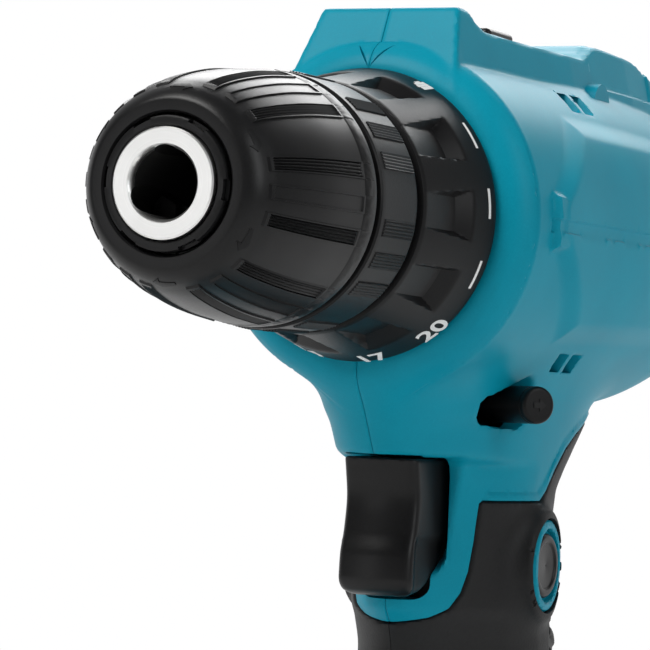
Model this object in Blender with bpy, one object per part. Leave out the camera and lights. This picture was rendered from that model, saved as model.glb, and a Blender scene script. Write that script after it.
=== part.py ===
"""Cordless drill driver: chuck, torque ring, planetary gearbox, motor, trigger grip and slide battery.

Frame: metres, +Z up, the chuck points along -Y, the operator's left hand side is +X.
The origin is the middle of the battery's flat base. Lengths in the tables below are in
millimetres and count from the drill's own datum: x from the middle plane, y backwards
from the front face of the housing, z up from the spindle axis.
"""
import math

import bmesh
import bpy
from mathutils import Matrix, Vector

# ------------------------------------------------------------------ driving dimensions
MM = 0.001
AXIS_HEIGHT = 195.0          # spindle axis above the battery's base
FACE_SETBACK = 45.0          # housing front face, ahead of the battery's middle
GAP = 0.3                    # running gap between neighbouring pieces
SEAM = 0.15                  # each housing half stops this far from the middle plane
WALL = 2.8                   # housing wall

NOSE_Y = -77.9               # front face of the chuck's steel nose
BORE_R = 5.82                # chuck mouth
NOSE_R = 9.15
SLEEVE_FRONT_Y = -76.4
SLEEVE_REAR_Y = -41.8
REAR_RING = (-40.5, -25.0)   # axial span of the chuck's rear ring
TORQUE_RING = (-23.2, 0.0)   # axial span of the torque ring
TORQUE_RING_R = (22.4, 26.5)
JAW_ANGLE = math.radians(15.5)
JAW_R = 2.6
JAW_LENGTH = 33.0
JAW_TIP_Y = -64.0            # tips at rest, jaws fully open
JAW_AXIS_R_AT_NOSE = 3.2     # where each jaw's axis crosses the nose plane
JAW_OPEN_R = 5.2             # gripping edge, jaws fully open

GEAR_MODULE = 0.7
SUN_TEETH = 12
PLANET_TEETH = 18
RING_TEETH = SUN_TEETH + 2 * PLANET_TEETH
TOOTH_HEIGHT = 0.9
TOOTH_CLEARANCE = 0.16       # the teeth are cut back from the pitch circle by this much
GEARCASE_R = (21.2, 23.5)
MOTOR_R = 18.2
MOTOR_Y = (50.5, 104.0)

HANDLE_WIDEST = 0.56         # share of the handle's depth, from the front, where it is widest
HANDLE_POWERS = (1.6, 2.4)   # how square the handle's section is, front and rear
BATTERY_BOX = (38.0, -12.0, 102.0)   # half width, front and rear
FOOT_BOTTOM = -150.0

SCREWS = (                   # (y, z, x of the head's seat)
    (16.0, 33.0, -9.0),
    (66.0, 26.0, -17.0),
    (112.5, 20.5, -16.0),
    (112.5, -20.5, -16.0),
    (63.6, -98.2, -8.5),
    (2.0, -134.5, -22.0),
    (90.0, -135.0, -22.0),
)
SCREW_R = 1.5
SCREW_HEAD_R = 3.0

TEAL = (0.012, 0.27, 0.36)
BLACK = (0.018, 0.018, 0.019)
RUBBER = (0.022, 0.022, 0.023)
STEEL = (0.62, 0.62, 0.60)


# ------------------------------------------------------------------ shared helpers
def place(x, y, z):
    """World position, in metres, of a point given in the drill's own millimetres."""
    return Vector((x, y - FACE_SETBACK, z + AXIS_HEIGHT)) * MM


def material(name, colour, roughness, metallic=0.0):
    found = bpy.data.materials.get(name)
    if found:
        return found
    made = bpy.data.materials.new(name)
    made.use_nodes = True
    shader = made.node_tree.nodes["Principled BSDF"]
    shader.inputs["Base Color"].default_value = (*colour, 1.0)
    shader.inputs["Roughness"].default_value = roughness
    shader.inputs["Metallic"].default_value = metallic
    made.diffuse_color = (*colour, 1.0)
    return made


def teal():
    return material("teal_plastic", TEAL, 0.42)


def black():
    return material("black_plastic", BLACK, 0.4)


def steel():
    return material("steel", STEEL, 0.3, 1.0)


def make_object(name, bm, finish, origin=Vector((0, 0, 0)), smooth=35.0):
    """Turn a bmesh, built in world metres, into an object whose origin is the given point."""
    bmesh.ops.recalc_face_normals(bm, faces=bm.faces)
    bmesh.ops.translate(bm, verts=bm.verts, vec=-origin)
    mesh = bpy.data.meshes.new(name)
    bm.to_mesh(mesh)
    bm.free()
    mesh.materials.append(finish)
    mesh.shade_smooth()
    mesh.set_sharp_from_angle(angle=math.radians(smooth))
    made = bpy.data.objects.new(name, mesh)
    made.location = origin
    bpy.context.scene.collection.objects.link(made)
    return made


def pivot(name, x, y, z):
    """An empty on a joint's axis, the parent of the pieces that move with it."""
    empty = bpy.data.objects.new(name, None)
    empty.location = place(x, y, z)
    bpy.context.scene.collection.objects.link(empty)
    return empty


def hang(parent, *children):
    """Parent pieces to an empty, leaving them where they are."""
    bpy.context.view_layer.update()
    for child in children:
        child.parent = parent
        child.matrix_parent_inverse = parent.matrix_world.inverted()


def guide(name, bm):
    """A shape that only cuts or joins others."""
    made = make_object(name, bm, black())
    made.hide_render = True
    made.display_type = "WIRE"
    return made


def combine(target, operation, tool):
    step = target.modifiers.new(f"{operation.lower()}_{tool.name}", "BOOLEAN")
    step.operation = operation
    step.solver = "EXACT"
    step.object = tool
    return target


def cut(target, *tools):
    for tool in tools:
        combine(target, "DIFFERENCE", tool)
    return target


def join(target, *tools):
    for tool in tools:
        combine(target, "UNION", tool)
    return target


def keep(target, tool):
    return combine(target, "INTERSECT", tool)


# ------------------------------------------------------------------ basic solids
def box(bm, x, y, z):
    """Axis-aligned block between the pairs x, y and z."""
    corner_low = place(x[0], y[0], z[0])
    corner_high = place(x[1], y[1], z[1])
    size = corner_high - corner_low
    middle = Matrix.Translation((corner_low + corner_high) / 2)
    bmesh.ops.create_cube(bm, size=1.0, matrix=middle @ Matrix.Diagonal((*size, 1.0)))
    return bm


def block(x, y, z, bevel=0.0, segments=1):
    bm = box(bmesh.new(), x, y, z)
    if bevel:
        bmesh.ops.bevel(bm, geom=bm.edges, offset=bevel * MM, segments=segments, affect="EDGES")
    return bm


def turned(profile, steps, centre=(0.0, 0.0), bm=None):
    """Turn a closed outline of (radius, y) about an axis along Y through centre = (x, z)."""
    bm = bm or bmesh.new()
    points = [bm.verts.new(place(centre[0] + radius, y, centre[1])) for radius, y in profile]
    edges = [bm.edges.new((points[i], points[(i + 1) % len(points)])) for i in range(len(points))]
    bmesh.ops.spin(bm, geom=points + edges, cent=place(centre[0], 0, centre[1]), axis=(0, 1, 0),
                   angle=math.tau, steps=steps, use_merge=True)
    bmesh.ops.remove_doubles(bm, verts=bm.verts, dist=0.002 * MM)
    bmesh.ops.dissolve_degenerate(bm, edges=bm.edges, dist=0.002 * MM)
    return bm


def ring(radii, y, steps, centre=(0.0, 0.0), bm=None):
    """Plain tube between two radii."""
    inner, outer = radii
    return turned([(inner, y[0]), (outer, y[0]), (outer, y[1]), (inner, y[1])], steps, centre, bm)


def rod(start, end, radius, steps=16, bm=None):
    """Round bar between two points."""
    bm = bm or bmesh.new()
    low, high = place(*start), place(*end)
    along = high - low
    turn = along.to_track_quat("Z", "Y").to_matrix().to_4x4()
    bmesh.ops.create_cone(bm, cap_ends=True, segments=steps, radius1=radius * MM, radius2=radius * MM,
                          depth=along.length, matrix=Matrix.Translation((low + high) / 2) @ turn)
    return bm


def prism(outline, x):
    """Block with the side outline [(y, z), ...], between the pair x."""
    bm = bmesh.new()
    face = bm.faces.new([bm.verts.new(place(x[0], y, z)) for y, z in outline])
    moved = bmesh.ops.extrude_face_region(bm, geom=[face])
    verts = [item for item in moved["geom"] if isinstance(item, bmesh.types.BMVert)]
    bmesh.ops.translate(bm, verts=verts, vec=Vector((x[1] - x[0], 0, 0)) * MM)
    return bm


def loft(rings):
    """Skin a list of equal rings of world points and cap both ends."""
    bm = bmesh.new()
    rows = [[bm.verts.new(point) for point in points] for points in rings]
    count = len(rows[0])
    for low, high in zip(rows, rows[1:]):
        for i in range(count):
            j = (i + 1) % count
            bm.faces.new((low[i], low[j], high[j], high[i]))
    bm.faces.new(rows[0])
    bm.faces.new(rows[-1])
    return bm


def rounded_section(half_width, front, rear, widest, powers, steps):
    """Points (x, y) of a closed curve; ahead of and behind its widest place it may differ in squareness."""
    middle = front + widest * (rear - front)
    points = []
    for i in range(steps):
        angle = math.tau * (i + 0.5) / steps
        c, s = math.cos(angle), math.sin(angle)
        power, depth = (powers[1], rear - middle) if s > 0 else (powers[0], middle - front)
        points.append((math.copysign(half_width * abs(c) ** (2 / power), c),
                       middle + math.copysign(depth * abs(s) ** (2 / power), s)))
    return points


def zigzag(radii, teeth, y, centre=(0.0, 0.0)):
    """Outline of 2 * teeth points that alternate between two radii."""
    points = []
    for i in range(2 * teeth):
        angle = math.pi * i / teeth
        radius = radii[i % 2]
        points.append(place(centre[0] + radius * math.cos(angle), y, centre[1] + radius * math.sin(angle)))
    return points


# ------------------------------------------------------------------ housing outline
BARREL = (                   # (y, radius) of the round barrel
    (0.6, 27.4), (3.4, 31.0), (18.0, 32.2), (36.0, 33.0), (62.0, 34.0),
    (96.0, 33.0), (112.0, 30.5), (121.0, 26.5), (125.5, 19.0),
)
HANDLE = (                   # (z, front y, rear y, half width)
    (-12.0, 1.2, 94.0, 20.0), (-27.0, 1.2, 94.0, 19.5), (-34.0, 4.2, 91.0, 18.8), (-42.0, 8.9, 82.0, 18.0),
    (-50.0, 14.0, 73.0, 17.4), (-60.0, 17.0, 70.5, 17.3), (-71.0, 17.4, 71.0, 17.3),
    (-74.5, 19.6, 72.5, 17.3), (-80.0, 21.4, 75.0, 17.3), (-100.0, 23.0, 75.5, 17.4),
    (-118.0, 22.0, 77.5, 18.4), (-126.0, 17.0, 82.0, 22.0), (-133.0, 4.0, 92.0, 31.0),
)
FOOT = (                     # (z, front y, rear y, half width)
    (-128.0, 8.0, 89.0, 29.0), (-132.0, -4.0, 96.0, 34.5), (-136.0, -10.0, 100.0, 37.0),
    (-150.0, -12.0, 102.0, 38.0),
)
TOP_BLOCK = (                # side outline of the raised block that carries the speed selector
    (7.4, 24.0), (9.0, 38.6), (12.5, 38.6), (19.0, 35.4), (64.0, 34.8), (75.0, 38.8), (98.0, 37.6),
    (114.0, 28.0), (114.0, 20.0), (12.0, 20.0),
)
TOP_BLOCK_HALF_WIDTH = (16.8, 13.2)  # at z = 24 and at z = 39
TRIGGER_OPENING = ((-10.0, 42.0), (-69.9, -42.0))   # y and z spans
FINGER_SCOOP = ((-10.0, 24.6), (-69.7, -43.4))      # space ahead of the grip beside the trigger
VENT_ROWS = (                # (middle y, middle z, half length, half height, lean) of the slots in each side
    (43.5, 24.45, 2.1, 1.85, 0.6), (49.3, 24.45, 2.1, 1.85, 0.6), (43.5, -24.85, 2.1, 1.75, -0.7),
    (49.3, -24.85, 2.1, 1.75, -0.7),
)
REAR_VENTS = (78.0, 4.2, 7)  # first y, pitch and count of the upright slots beside the motor
PAD_OUTLINE = (              # side outline (y, z) of the rubber grip
    (30.4, -51.4), (48.6, -51.4), (56.0, -45.0), (62.0, -40.6), (72.0, -36.8), (100.0, -34.0),
    (100.0, -119.0), (8.0, -119.0), (8.0, -75.4), (20.5, -74.8), (26.2, -71.6), (29.4, -64.0),
)
PLUG = (50.0, -63.5)         # (y, z) of the round boss on each side of the grip
PLUG_BOSS_R = 8.8
BOSS_FACE = 19.6             # x of the boss's flat face
PLUG_SEAT = 17.8             # x of the bottom of the plug's recess
PLUG_R = 6.2


def round_sections(table, steps):
    angles = [math.tau * i / steps for i in range(steps)]
    return [[place(r * math.cos(a), y, r * math.sin(a)) for a in angles] for y, r in table]


def flat_sections(table, steps, widest=0.5, powers=(9.0, 9.0)):
    """Level rings for rows of (z, front y, rear y, half width)."""
    rings = []
    for z, front, rear, half_width in table:
        outline = rounded_section(half_width, front, rear, widest, powers, steps)
        rings.append([place(x, y, z) for x, y in outline])
    return rings


def handle_shape(offset, table=HANDLE, steps=20):
    """The grip's shape, grown by the offset."""
    rows = [(z, front - offset, rear + offset, half + offset) for z, front, rear, half in table]
    return loft(flat_sections(rows, steps, HANDLE_WIDEST, HANDLE_POWERS))


def housing_outline():
    """Everything the two halves show from outside, as one solid."""
    body = guide("housing_outline", loft(round_sections(BARREL, 28)))
    top = prism(TOP_BLOCK, (-1.0, 1.0))
    low_width, high_width = TOP_BLOCK_HALF_WIDTH
    for vert in top.verts:
        z = vert.co.z / MM - AXIS_HEIGHT
        width = low_width + (high_width - low_width) * (z - 24.0) / 15.0
        vert.co.x = math.copysign(width * MM, vert.co.x)
    join(body, guide("top_block", top), guide("handle_outline", handle_shape(0.0)),
         guide("foot_outline", loft(flat_sections(FOOT, 20, powers=(5.0, 5.0)))))
    pads = bmesh.new()
    for side in (-1, 1):
        x = sorted((side * 30.0, side * 39.5))
        box(pads, x, (62.0, 82.0), (-147.0, -138.0))
    join(body, guide("belt_clip_pads", pads))
    bosses = bmesh.new()
    y, z = PLUG
    rod((-BOSS_FACE, y, z), (BOSS_FACE, y, z), PLUG_BOSS_R, 20, bosses)
    return join(body, guide("plug_bosses", bosses))


# ------------------------------------------------------------------ housing halves
def housing_cutters():
    """The hollows that both halves share."""
    cavity_profile = [
        (0.0, -2.0), (22.0, -2.0), (22.0, 5.2), (28.2, 6.2), (29.4, 46.6), (24.5, 47.0), (19.0, 47.2),
        (19.0, 49.6), (29.4, 50.0), (29.4, 97.0), (18.7, 97.4), (18.7, 100.0), (25.0, 101.0), (25.0, 114.0),
        (18.0, 121.0), (0.0, 121.0),
    ]
    barrel_cavity = guide("barrel_cavity", turned(cavity_profile, 20))
    grip_rows = [row for row in HANDLE if -34.0 >= row[0] >= -118.0]
    rows = [(-22.0, 7.2, 72.8, 16.8)] + grip_rows + [(-131.5, 27.2, 76.8, 15.8)]
    handle_cavity = guide("handle_cavity", handle_shape(-WALL, rows, 14))
    foot_cavity = guide("foot_cavity", block((-15.0, 15.0), (34.0, 82.3), (-136.9, -130.5)))
    slot = bmesh.new()
    box(slot, (-23.0, 23.0), (-20.0, 66.0), (-160.0, -145.4))
    battery_slot = guide("battery_slot", slot)
    slot_head = guide("battery_slot_head", block((-27.0, 27.0), (-20.0, 66.0), (-145.6, -139.0)))
    terminal_pocket = guide("terminal_pocket", block((-22.3, 22.3), (65.8, 82.3), (-160.0, -136.6)))
    trigger_hole = guide("trigger_opening", block((-7.7, 7.7), *TRIGGER_OPENING))
    finger_scoop = guide("finger_scoop", block((-40.0, 40.0), *FINGER_SCOOP))
    selector_pocket = guide("selector_pocket", block((-8.6, 8.6), (36.6, 59.4), (33.2, 60.0)))
    selector_slot = guide("selector_slot", block((-4.6, 4.6), (34.0, 57.0), (22.0, 40.0)))
    return [barrel_cavity, handle_cavity, foot_cavity, battery_slot, slot_head, terminal_pocket, finger_scoop,
            trigger_hole, selector_pocket, selector_slot]


def side_cutters():
    """Lever slots, vents and the recess that the rubber fills: cut in both halves."""
    lever = bmesh.new()
    rod((-40.0, 24.5, -33.0), (40.0, 24.5, -33.0), 5.2, 12, lever)
    lever_front = guide("lever_slot_front", lever)
    lever_rear = guide("lever_slot_rear", rod((-40.0, 36.0, -33.0), (40.0, 36.0, -33.0), 5.2, 12))
    lever_middle = guide("lever_slot_middle", block((-40.0, 40.0), (24.5, 36.0), (-38.2, -27.8)))
    vents = bmesh.new()
    first, pitch, count = REAR_VENTS
    for side in (-1, 1):
        for slot in VENT_ROWS:
            slanted_slot(vents, side, *slot)
        for i in range(count):
            slanted_slot(vents, side, first + pitch * i, 0.0, 0.95, 8.5, 0.0)
    recess = guide("pad_recess", prism(grown(PAD_OUTLINE, GAP), (-40.0, 40.0)))
    keep(recess, guide("pad_recess_outer", handle_shape(5.0)))
    cut(recess, guide("pad_recess_inner", handle_shape(-1.9)))
    cut(recess, guide("pad_recess_boss", rod((-40.0, *PLUG), (40.0, *PLUG), PLUG_BOSS_R - 0.1, 20)))
    plugs = bmesh.new()
    for side in (-1, 1):
        rod((side * PLUG_SEAT, *PLUG), (side * 30.0, *PLUG), PLUG_R + GAP, 18, plugs)
    return [lever_front, lever_middle, lever_rear, guide("vents", vents), recess, guide("plug_recess", plugs)]


def slanted_slot(bm, side, y, z, length, height, lean):
    """One vent slot through the side wall, leaning backwards or forwards as it rises."""
    outline = [(y - length - lean, z - height), (y + length - lean, z - height),
               (y + length + lean, z + height), (y - length + lean, z + height)]
    near, far = side * 12.0, side * 50.0
    corners = [bm.verts.new(place(x, *point)) for x in (near, far) for point in outline]
    bm.faces.new(corners[:4])
    bm.faces.new(corners[4:])
    for i in range(4):
        j = (i + 1) % 4
        bm.faces.new((corners[i], corners[j], corners[4 + j], corners[4 + i]))


def grown(outline, distance):
    """Push every edge of a clockwise outline outwards by the distance."""
    corners = [Vector(point) for point in outline]
    result = []
    for before, here, after in zip(corners[-1:] + corners, corners, corners[1:] + corners[:1]):
        normals = [(end - start).normalized().orthogonal() for start, end in ((before, here), (here, after))]
        result.append(here + (normals[0] + normals[1]) * distance / (1 + normals[0].dot(normals[1])))
    return result


def screw_towers(side):
    """Solid posts inside one half that the housing screws go through."""
    posts = bmesh.new()
    for y, z, seat in SCREWS:
        reach = abs(seat) + 3.5
        rod((side * SEAM, y, z), (side * reach, y, z), SCREW_HEAD_R + 1.0, 8, posts)
    return guide(f"screw_towers_{'left' if side > 0 else 'right'}", posts)


def build_housing():
    outline = housing_outline()
    hollows = housing_cutters()
    sides = side_cutters()
    thread_holes = bmesh.new()
    clearance_holes = bmesh.new()
    head_recesses = bmesh.new()
    for y, z, seat in SCREWS:
        rod((-1.0, y, z), (9.6, y, z), SCREW_R + GAP, 8, thread_holes)
        rod((seat - 1.0, y, z), (1.0, y, z), SCREW_R + GAP, 8, clearance_holes)
        rod((-60.0, y, z), (seat, y, z), SCREW_HEAD_R + GAP, 10, head_recesses)
    holes = {
        1: [guide("thread_holes", thread_holes)],
        -1: [guide("clearance_holes", clearance_holes), guide("head_recesses", head_recesses)],
    }
    for side, name in ((1, "housing_left"), (-1, "housing_right")):
        x = sorted((side * SEAM, side * 60.0))
        half = make_object(name, block(x, (-5.0, 130.0), (-155.0, 45.0)), teal())
        keep(half, outline)
        cut(half, *hollows)
        join(half, screw_towers(side))
        cut(half, *sides, *holes[side])


def build_grips():
    for side, name in ((1, "grip_left"), (-1, "grip_right")):
        x = sorted((side * SEAM, side * 40.0))
        pad = make_object(name, prism(PAD_OUTLINE, x), material("rubber", RUBBER, 0.75))
        keep(pad, guide(f"{name}_outer", handle_shape(0.35)))
        cut(pad, guide(f"{name}_inner", handle_shape(-1.6)))
        cut(pad, guide(f"{name}_boss", rod((-40.0, *PLUG), (40.0, *PLUG), PLUG_BOSS_R + GAP, 20)))
        y, z, _ = SCREWS[4]
        cut(pad, guide(f"{name}_screw", rod((-40.0, y, z), (0.0, y, z), SCREW_HEAD_R + GAP, 14)))
        plug = rod((side * (PLUG_SEAT + GAP), *PLUG), (side * (BOSS_FACE - GAP), *PLUG), PLUG_R, 18)
        make_object(name.replace("grip", "grip_plug"), plug, black())


def build_screws():
    for number, (y, z, seat) in enumerate(SCREWS, start=1):
        bm = rod((seat - 2.2, y, z), (seat - GAP, y, z), SCREW_HEAD_R, 10)
        screw = make_object(f"housing_screw_{number}", bm, steel())
        shank = guide(f"screw_shank_{number}", rod((seat - 1.0, y, z), (9.0, y, z), SCREW_R, 8))
        socket = guide(f"screw_socket_{number}", rod((seat - 3.0, y, z), (seat - 1.2, y, z), 1.4, 6))
        cut(join(screw, shank), socket)


# ------------------------------------------------------------------ chuck and spindle
def build_spindle():
    """Spindle with the second carrier's plate and its three planet pins."""
    profile = [
        (0.0, -38.2), (6.35, -38.2), (6.35, -24.6), (7.5, -24.6), (7.5, 16.0), (15.4, 16.0), (15.4, 20.0),
        (0.0, 20.0),
    ]
    spindle = make_object("spindle", turned(profile, 20), steel())
    pins = bmesh.new()
    for x, z in planet_places():
        rod((x, 19.0, z), (x, 30.0, z), 1.7, 8, pins)
    join(spindle, guide("spindle_pins", pins))
    cut(spindle, guide("spindle_bore", rod((0, -45.0, 0), (0, -22.0, 0), 2.9, 12)))
    bearing = ring((7.8, 11.0), (-20.0, -12.0), 20)
    make_object("spindle_bearing", bearing, steel())
    return spindle


def jaw_direction(number):
    """Unit vector from the chuck's axis towards one jaw."""
    angle = math.radians(90.0 + 120.0 * number)
    return math.cos(angle), math.sin(angle)


def jaw_point(number, y):
    """Where a jaw's slanted axis passes the plane y."""
    radius = JAW_AXIS_R_AT_NOSE + (y - NOSE_Y) * math.tan(JAW_ANGLE)
    dx, dz = jaw_direction(number)
    return dx * radius, y, dz * radius


def build_chuck():
    rear = REAR_RING[1] - GAP
    profile = [
        (7.3, NOSE_Y), (NOSE_R, NOSE_Y), (NOSE_R, -74.0), (11.2, -73.0), (11.2, -70.0), (15.6, -62.0),
        (15.6, -49.3), (19.6, -49.3), (19.6, rear), (6.65, rear), (6.65, -38.5), (4.0, -38.5), (4.0, -44.0),
        (BORE_R, -44.0), (BORE_R, -76.4),
    ]
    chuck = make_object("chuck_body", turned(profile, 30), material("chuck_steel", STEEL, 0.25, 1.0))
    slots = bmesh.new()
    for number in range(3):
        rod(jaw_point(number, -84.0), jaw_point(number, -29.0), JAW_R + GAP, 12, slots)
    cut(chuck, guide("jaw_slots", slots))
    collar = ring((NOSE_R + 0.25, 11.2), (-77.2, -74.3), 24)
    make_object("chuck_nose_collar", collar, black())
    rear_profile = [
        (19.9, REAR_RING[0]), (21.4, REAR_RING[0]), (22.2, REAR_RING[0] + 1.2), (22.1, REAR_RING[1] - 1.0),
        (21.4, REAR_RING[1]), (19.9, REAR_RING[1]),
    ]
    make_object("chuck_rear_ring", turned(rear_profile, 32), black())
    screw = make_object("chuck_screw", rod((0, -43.7, 0), (0, -41.2, 0), 3.6, 14), steel())
    join(screw, guide("chuck_screw_shank", rod((0, -42.0, 0), (0, -25.0, 0), 2.5, 12)))
    cut(screw, guide("chuck_screw_slot", block((-0.5, 0.5), (-44.5, -42.6), (-5.0, 5.0))))


def build_sleeve():
    """Front sleeve and the nut that is pressed into it."""
    profile = [
        (11.6, SLEEVE_FRONT_Y), (13.8, SLEEVE_FRONT_Y), (15.7, -74.5), (17.7, -70.0), (19.4, -64.0),
        (20.8, -56.0), (21.7, -48.0), (21.9, SLEEVE_REAR_Y), (20.0, SLEEVE_REAR_Y), (20.0, -57.0),
        (17.3, -57.0), (15.4, -69.5), (11.6, -72.0),
    ]
    make_object("chuck_front_sleeve", turned(profile, 32), black())
    make_object("chuck_nut", ring((16.0, 19.6), (-56.6, -49.8), 24), steel())


def build_jaws():
    """Three slanted rods whose tips are ground to meet each other on the chuck's axis."""
    for number in range(3):
        along_y = JAW_LENGTH * math.cos(JAW_ANGLE)
        rear_y = JAW_TIP_Y + along_y
        bm = rod(jaw_point(number, JAW_TIP_Y - 3.0), jaw_point(number, rear_y), JAW_R, 12)
        dx, dz = jaw_direction(number)
        edge = place(dx * JAW_OPEN_R, JAW_TIP_Y, dz * JAW_OPEN_R)
        outward = Vector((dx, 0, dz))
        tangent = Vector((-dz, 0, dx))
        normals = [Vector((0, -1, 0))]
        half_turn, rise = math.cos(math.radians(60)), math.sin(math.radians(60))
        normals += [side * tangent * half_turn - outward * rise for side in (-1, 1)]
        for normal in normals:
            geometry = bm.verts[:] + bm.edges[:] + bm.faces[:]
            bmesh.ops.bisect_plane(bm, geom=geometry, plane_co=edge, plane_no=normal, clear_outer=True)
            rim = [item for item in bm.edges if item.is_boundary]
            bmesh.ops.edgeloop_fill(bm, edges=rim)
        make_object(f"jaw_{number + 1}", bm, steel())


# ------------------------------------------------------------------ gearbox
def planet_places():
    distance = GEAR_MODULE * (SUN_TEETH + PLANET_TEETH) / 2
    return [(distance * math.cos(math.radians(90 + 120 * i)), distance * math.sin(math.radians(90 + 120 * i)))
            for i in range(3)]


def outer_gear(teeth, y, bore, centre=(0.0, 0.0)):
    """Spur gear with a round bore."""
    tip = GEAR_MODULE * teeth / 2 - TOOTH_CLEARANCE
    return toothed_ring(zigzag((tip, tip - TOOTH_HEIGHT), teeth, 0.0, centre), bore, y, centre)


def toothed_ring(outline, bore, y, centre):
    """Solid between a toothed outline and a round hole that has one point for each tooth."""
    bm = bmesh.new()
    teeth = len(outline) // 2
    angles = [math.tau * i / teeth for i in range(teeth)]
    hole = [place(centre[0] + bore * math.cos(a), 0, centre[1] + bore * math.sin(a)) for a in angles]
    levels = []
    for level in y:
        height = (level - FACE_SETBACK) * MM
        levels.append([[bm.verts.new(Vector((p.x, height, p.z))) for p in loop] for loop in (outline, hole)])
    (low_teeth, low_hole), (high_teeth, high_hole) = levels
    for i in range(teeth):
        j = (i + 1) % teeth
        first, tip, last = 2 * i, 2 * i + 1, (2 * i + 2) % len(outline)
        for rim, inner in ((low_teeth, low_hole), (high_teeth, high_hole)):
            bm.faces.new((rim[first], rim[tip], inner[i]))
            bm.faces.new((rim[tip], rim[last], inner[j], inner[i]))
        for a, b in ((first, tip), (tip, last)):
            bm.faces.new((low_teeth[a], low_teeth[b], high_teeth[b], high_teeth[a]))
        bm.faces.new((low_hole[i], low_hole[j], high_hole[j], high_hole[i]))
    return bm


def ring_gear(name, y):
    tip = GEAR_MODULE * RING_TEETH / 2 + TOOTH_CLEARANCE
    teeth = zigzag((tip, tip + TOOTH_HEIGHT), RING_TEETH, 0.0)
    return make_object(name, toothed_ring(teeth, GEARCASE_R[0] - GAP, y, (0.0, 0.0)), steel())


def build_gears():
    places = planet_places()
    ring_gear("ring_gear_1", (37.0, 46.0))
    second_ring = ring_gear("ring_gear_2", (21.5, 29.5))
    carrier = make_object("carrier_1", outer_gear(SUN_TEETH, (22.0, 33.5), 1.0), steel())
    join(carrier, guide("carrier_1_plate", rod((0, 32.0, 0), (0, 35.5, 0), 15.4, 20)))
    pins = bmesh.new()
    for x, z in places:
        rod((x, 35.0, z), (x, 44.5, z), 1.7, 8, pins)
    join(carrier, guide("carrier_1_pins", pins))
    for stage, y in ((1, (37.5, 44.0)), (2, (22.5, 29.0))):
        for number, (x, z) in enumerate(places, start=1):
            gear = outer_gear(PLANET_TEETH, y, 1.7 + GAP, (x, z))
            planet = make_object(f"planet_{stage}_{number}", gear, steel())
            hang(pivot(f"planet_{stage}_{number}_axis", x, y[0], z), planet)
    return second_ring


def build_gear_case():
    inner, outer = GEARCASE_R
    profile = [
        (11.3, -20.6), (13.2, -20.6), (13.2, -1.2), (18.6, -1.2), (18.6, 0.4), (21.7, 0.4), (21.7, 6.1),
        (outer, 7.6), (outer, 46.0), (inner, 46.0), (inner, 8.0), (9.0, 2.4), (9.0, -11.7), (11.3, -11.7),
    ]
    case = make_object("gear_case", turned(profile, 24), material("cast_alloy", (0.42, 0.43, 0.44), 0.5, 1.0))
    cut(case, guide("shift_slots", block((-30.0, 30.0), (23.5, 33.6), (-1.7, 1.7))))


# ------------------------------------------------------------------ torque clutch and speed selector
def build_clutch():
    front, rear = TORQUE_RING
    profile = [
        (9.0, front), (TORQUE_RING_R[0] - 0.8, front), (TORQUE_RING_R[0], front + 0.8),
        (TORQUE_RING_R[1], rear - 1.0), (TORQUE_RING_R[1] - 0.6, rear), (19.0, rear), (19.0, front + 2.2),
        (9.0, front + 2.2),
    ]
    make_object("torque_ring", turned(profile, 36), black())
    make_object("clutch_nut", ring((13.6, 18.6), (-20.6, -17.6), 20), steel())
    make_object("clutch_plate", ring((13.6, 18.4), (-3.0, -1.6), 20), steel())
    turns, radius, wire = 4.0, 15.6, 1.1
    low, high = -17.2 + wire, -3.4 - wire
    points = []
    count = 41
    for i in range(count):
        share = i / (count - 1)
        angle = math.tau * turns * share
        points.append((radius * math.cos(angle), low + (high - low) * share, radius * math.sin(angle)))
    wire_object("clutch_spring", points, wire, 1, steel())


def wire_object(name, points, radius, resolution, finish):
    """Round wire through the points, with closed ends."""
    curve = bpy.data.curves.new(name, "CURVE")
    curve.dimensions = "3D"
    curve.bevel_depth = radius * MM
    curve.bevel_resolution = resolution
    curve.use_fill_caps = True
    spline = curve.splines.new("POLY")
    spline.points.add(len(points) - 1)
    for target, point in zip(spline.points, points):
        target.co = (*place(*point), 1.0)
    curve.materials.append(finish)
    made = bpy.data.objects.new(name, curve)
    bpy.context.scene.collection.objects.link(made)
    return made


def build_selector(second_ring):
    """Knob, the fork under it and the ring gear that the fork slides."""
    knob = make_object("speed_selector", block((-7.6, 7.6), (38.6, 51.4), (34.0, 38.4), 1.0), black())
    join(knob, guide("selector_stem", block((-3.6, 3.6), (40.6, 49.0), (26.9, 35.0))))
    ridges = bmesh.new()
    for y in (41.0, 43.5, 46.0, 48.5):
        box(ridges, (-5.5, 5.5), (y - 0.55, y + 0.55), (37.8, 41.0))
    cut(knob, guide("selector_grooves", ridges))
    band = ring((24.0, 25.8), (24.4, 27.4), 24)
    geometry = band.verts[:] + band.edges[:] + band.faces[:]
    level = place(0, 0, -1.4)
    bmesh.ops.bisect_plane(band, geom=geometry, plane_co=level, plane_no=(0, 0, -1), clear_outer=True)
    bmesh.ops.holes_fill(band, edges=[item for item in band.edges if item.is_boundary])
    fork = make_object("shift_fork", band, steel())
    tabs = bmesh.new()
    for side in (-1, 1):
        box(tabs, sorted((side * 21.3, side * 24.8)), (24.8, 27.0), (-1.2, 1.2))
    tongue = guide("fork_tongue", block((-3.4, 3.4), (24.6, 48.6), (24.1, 26.4)))
    join(fork, guide("fork_tabs", tabs), tongue)
    hang(pivot("speed_selector_axis", 0, 42, 36), knob, fork, second_ring)


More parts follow.
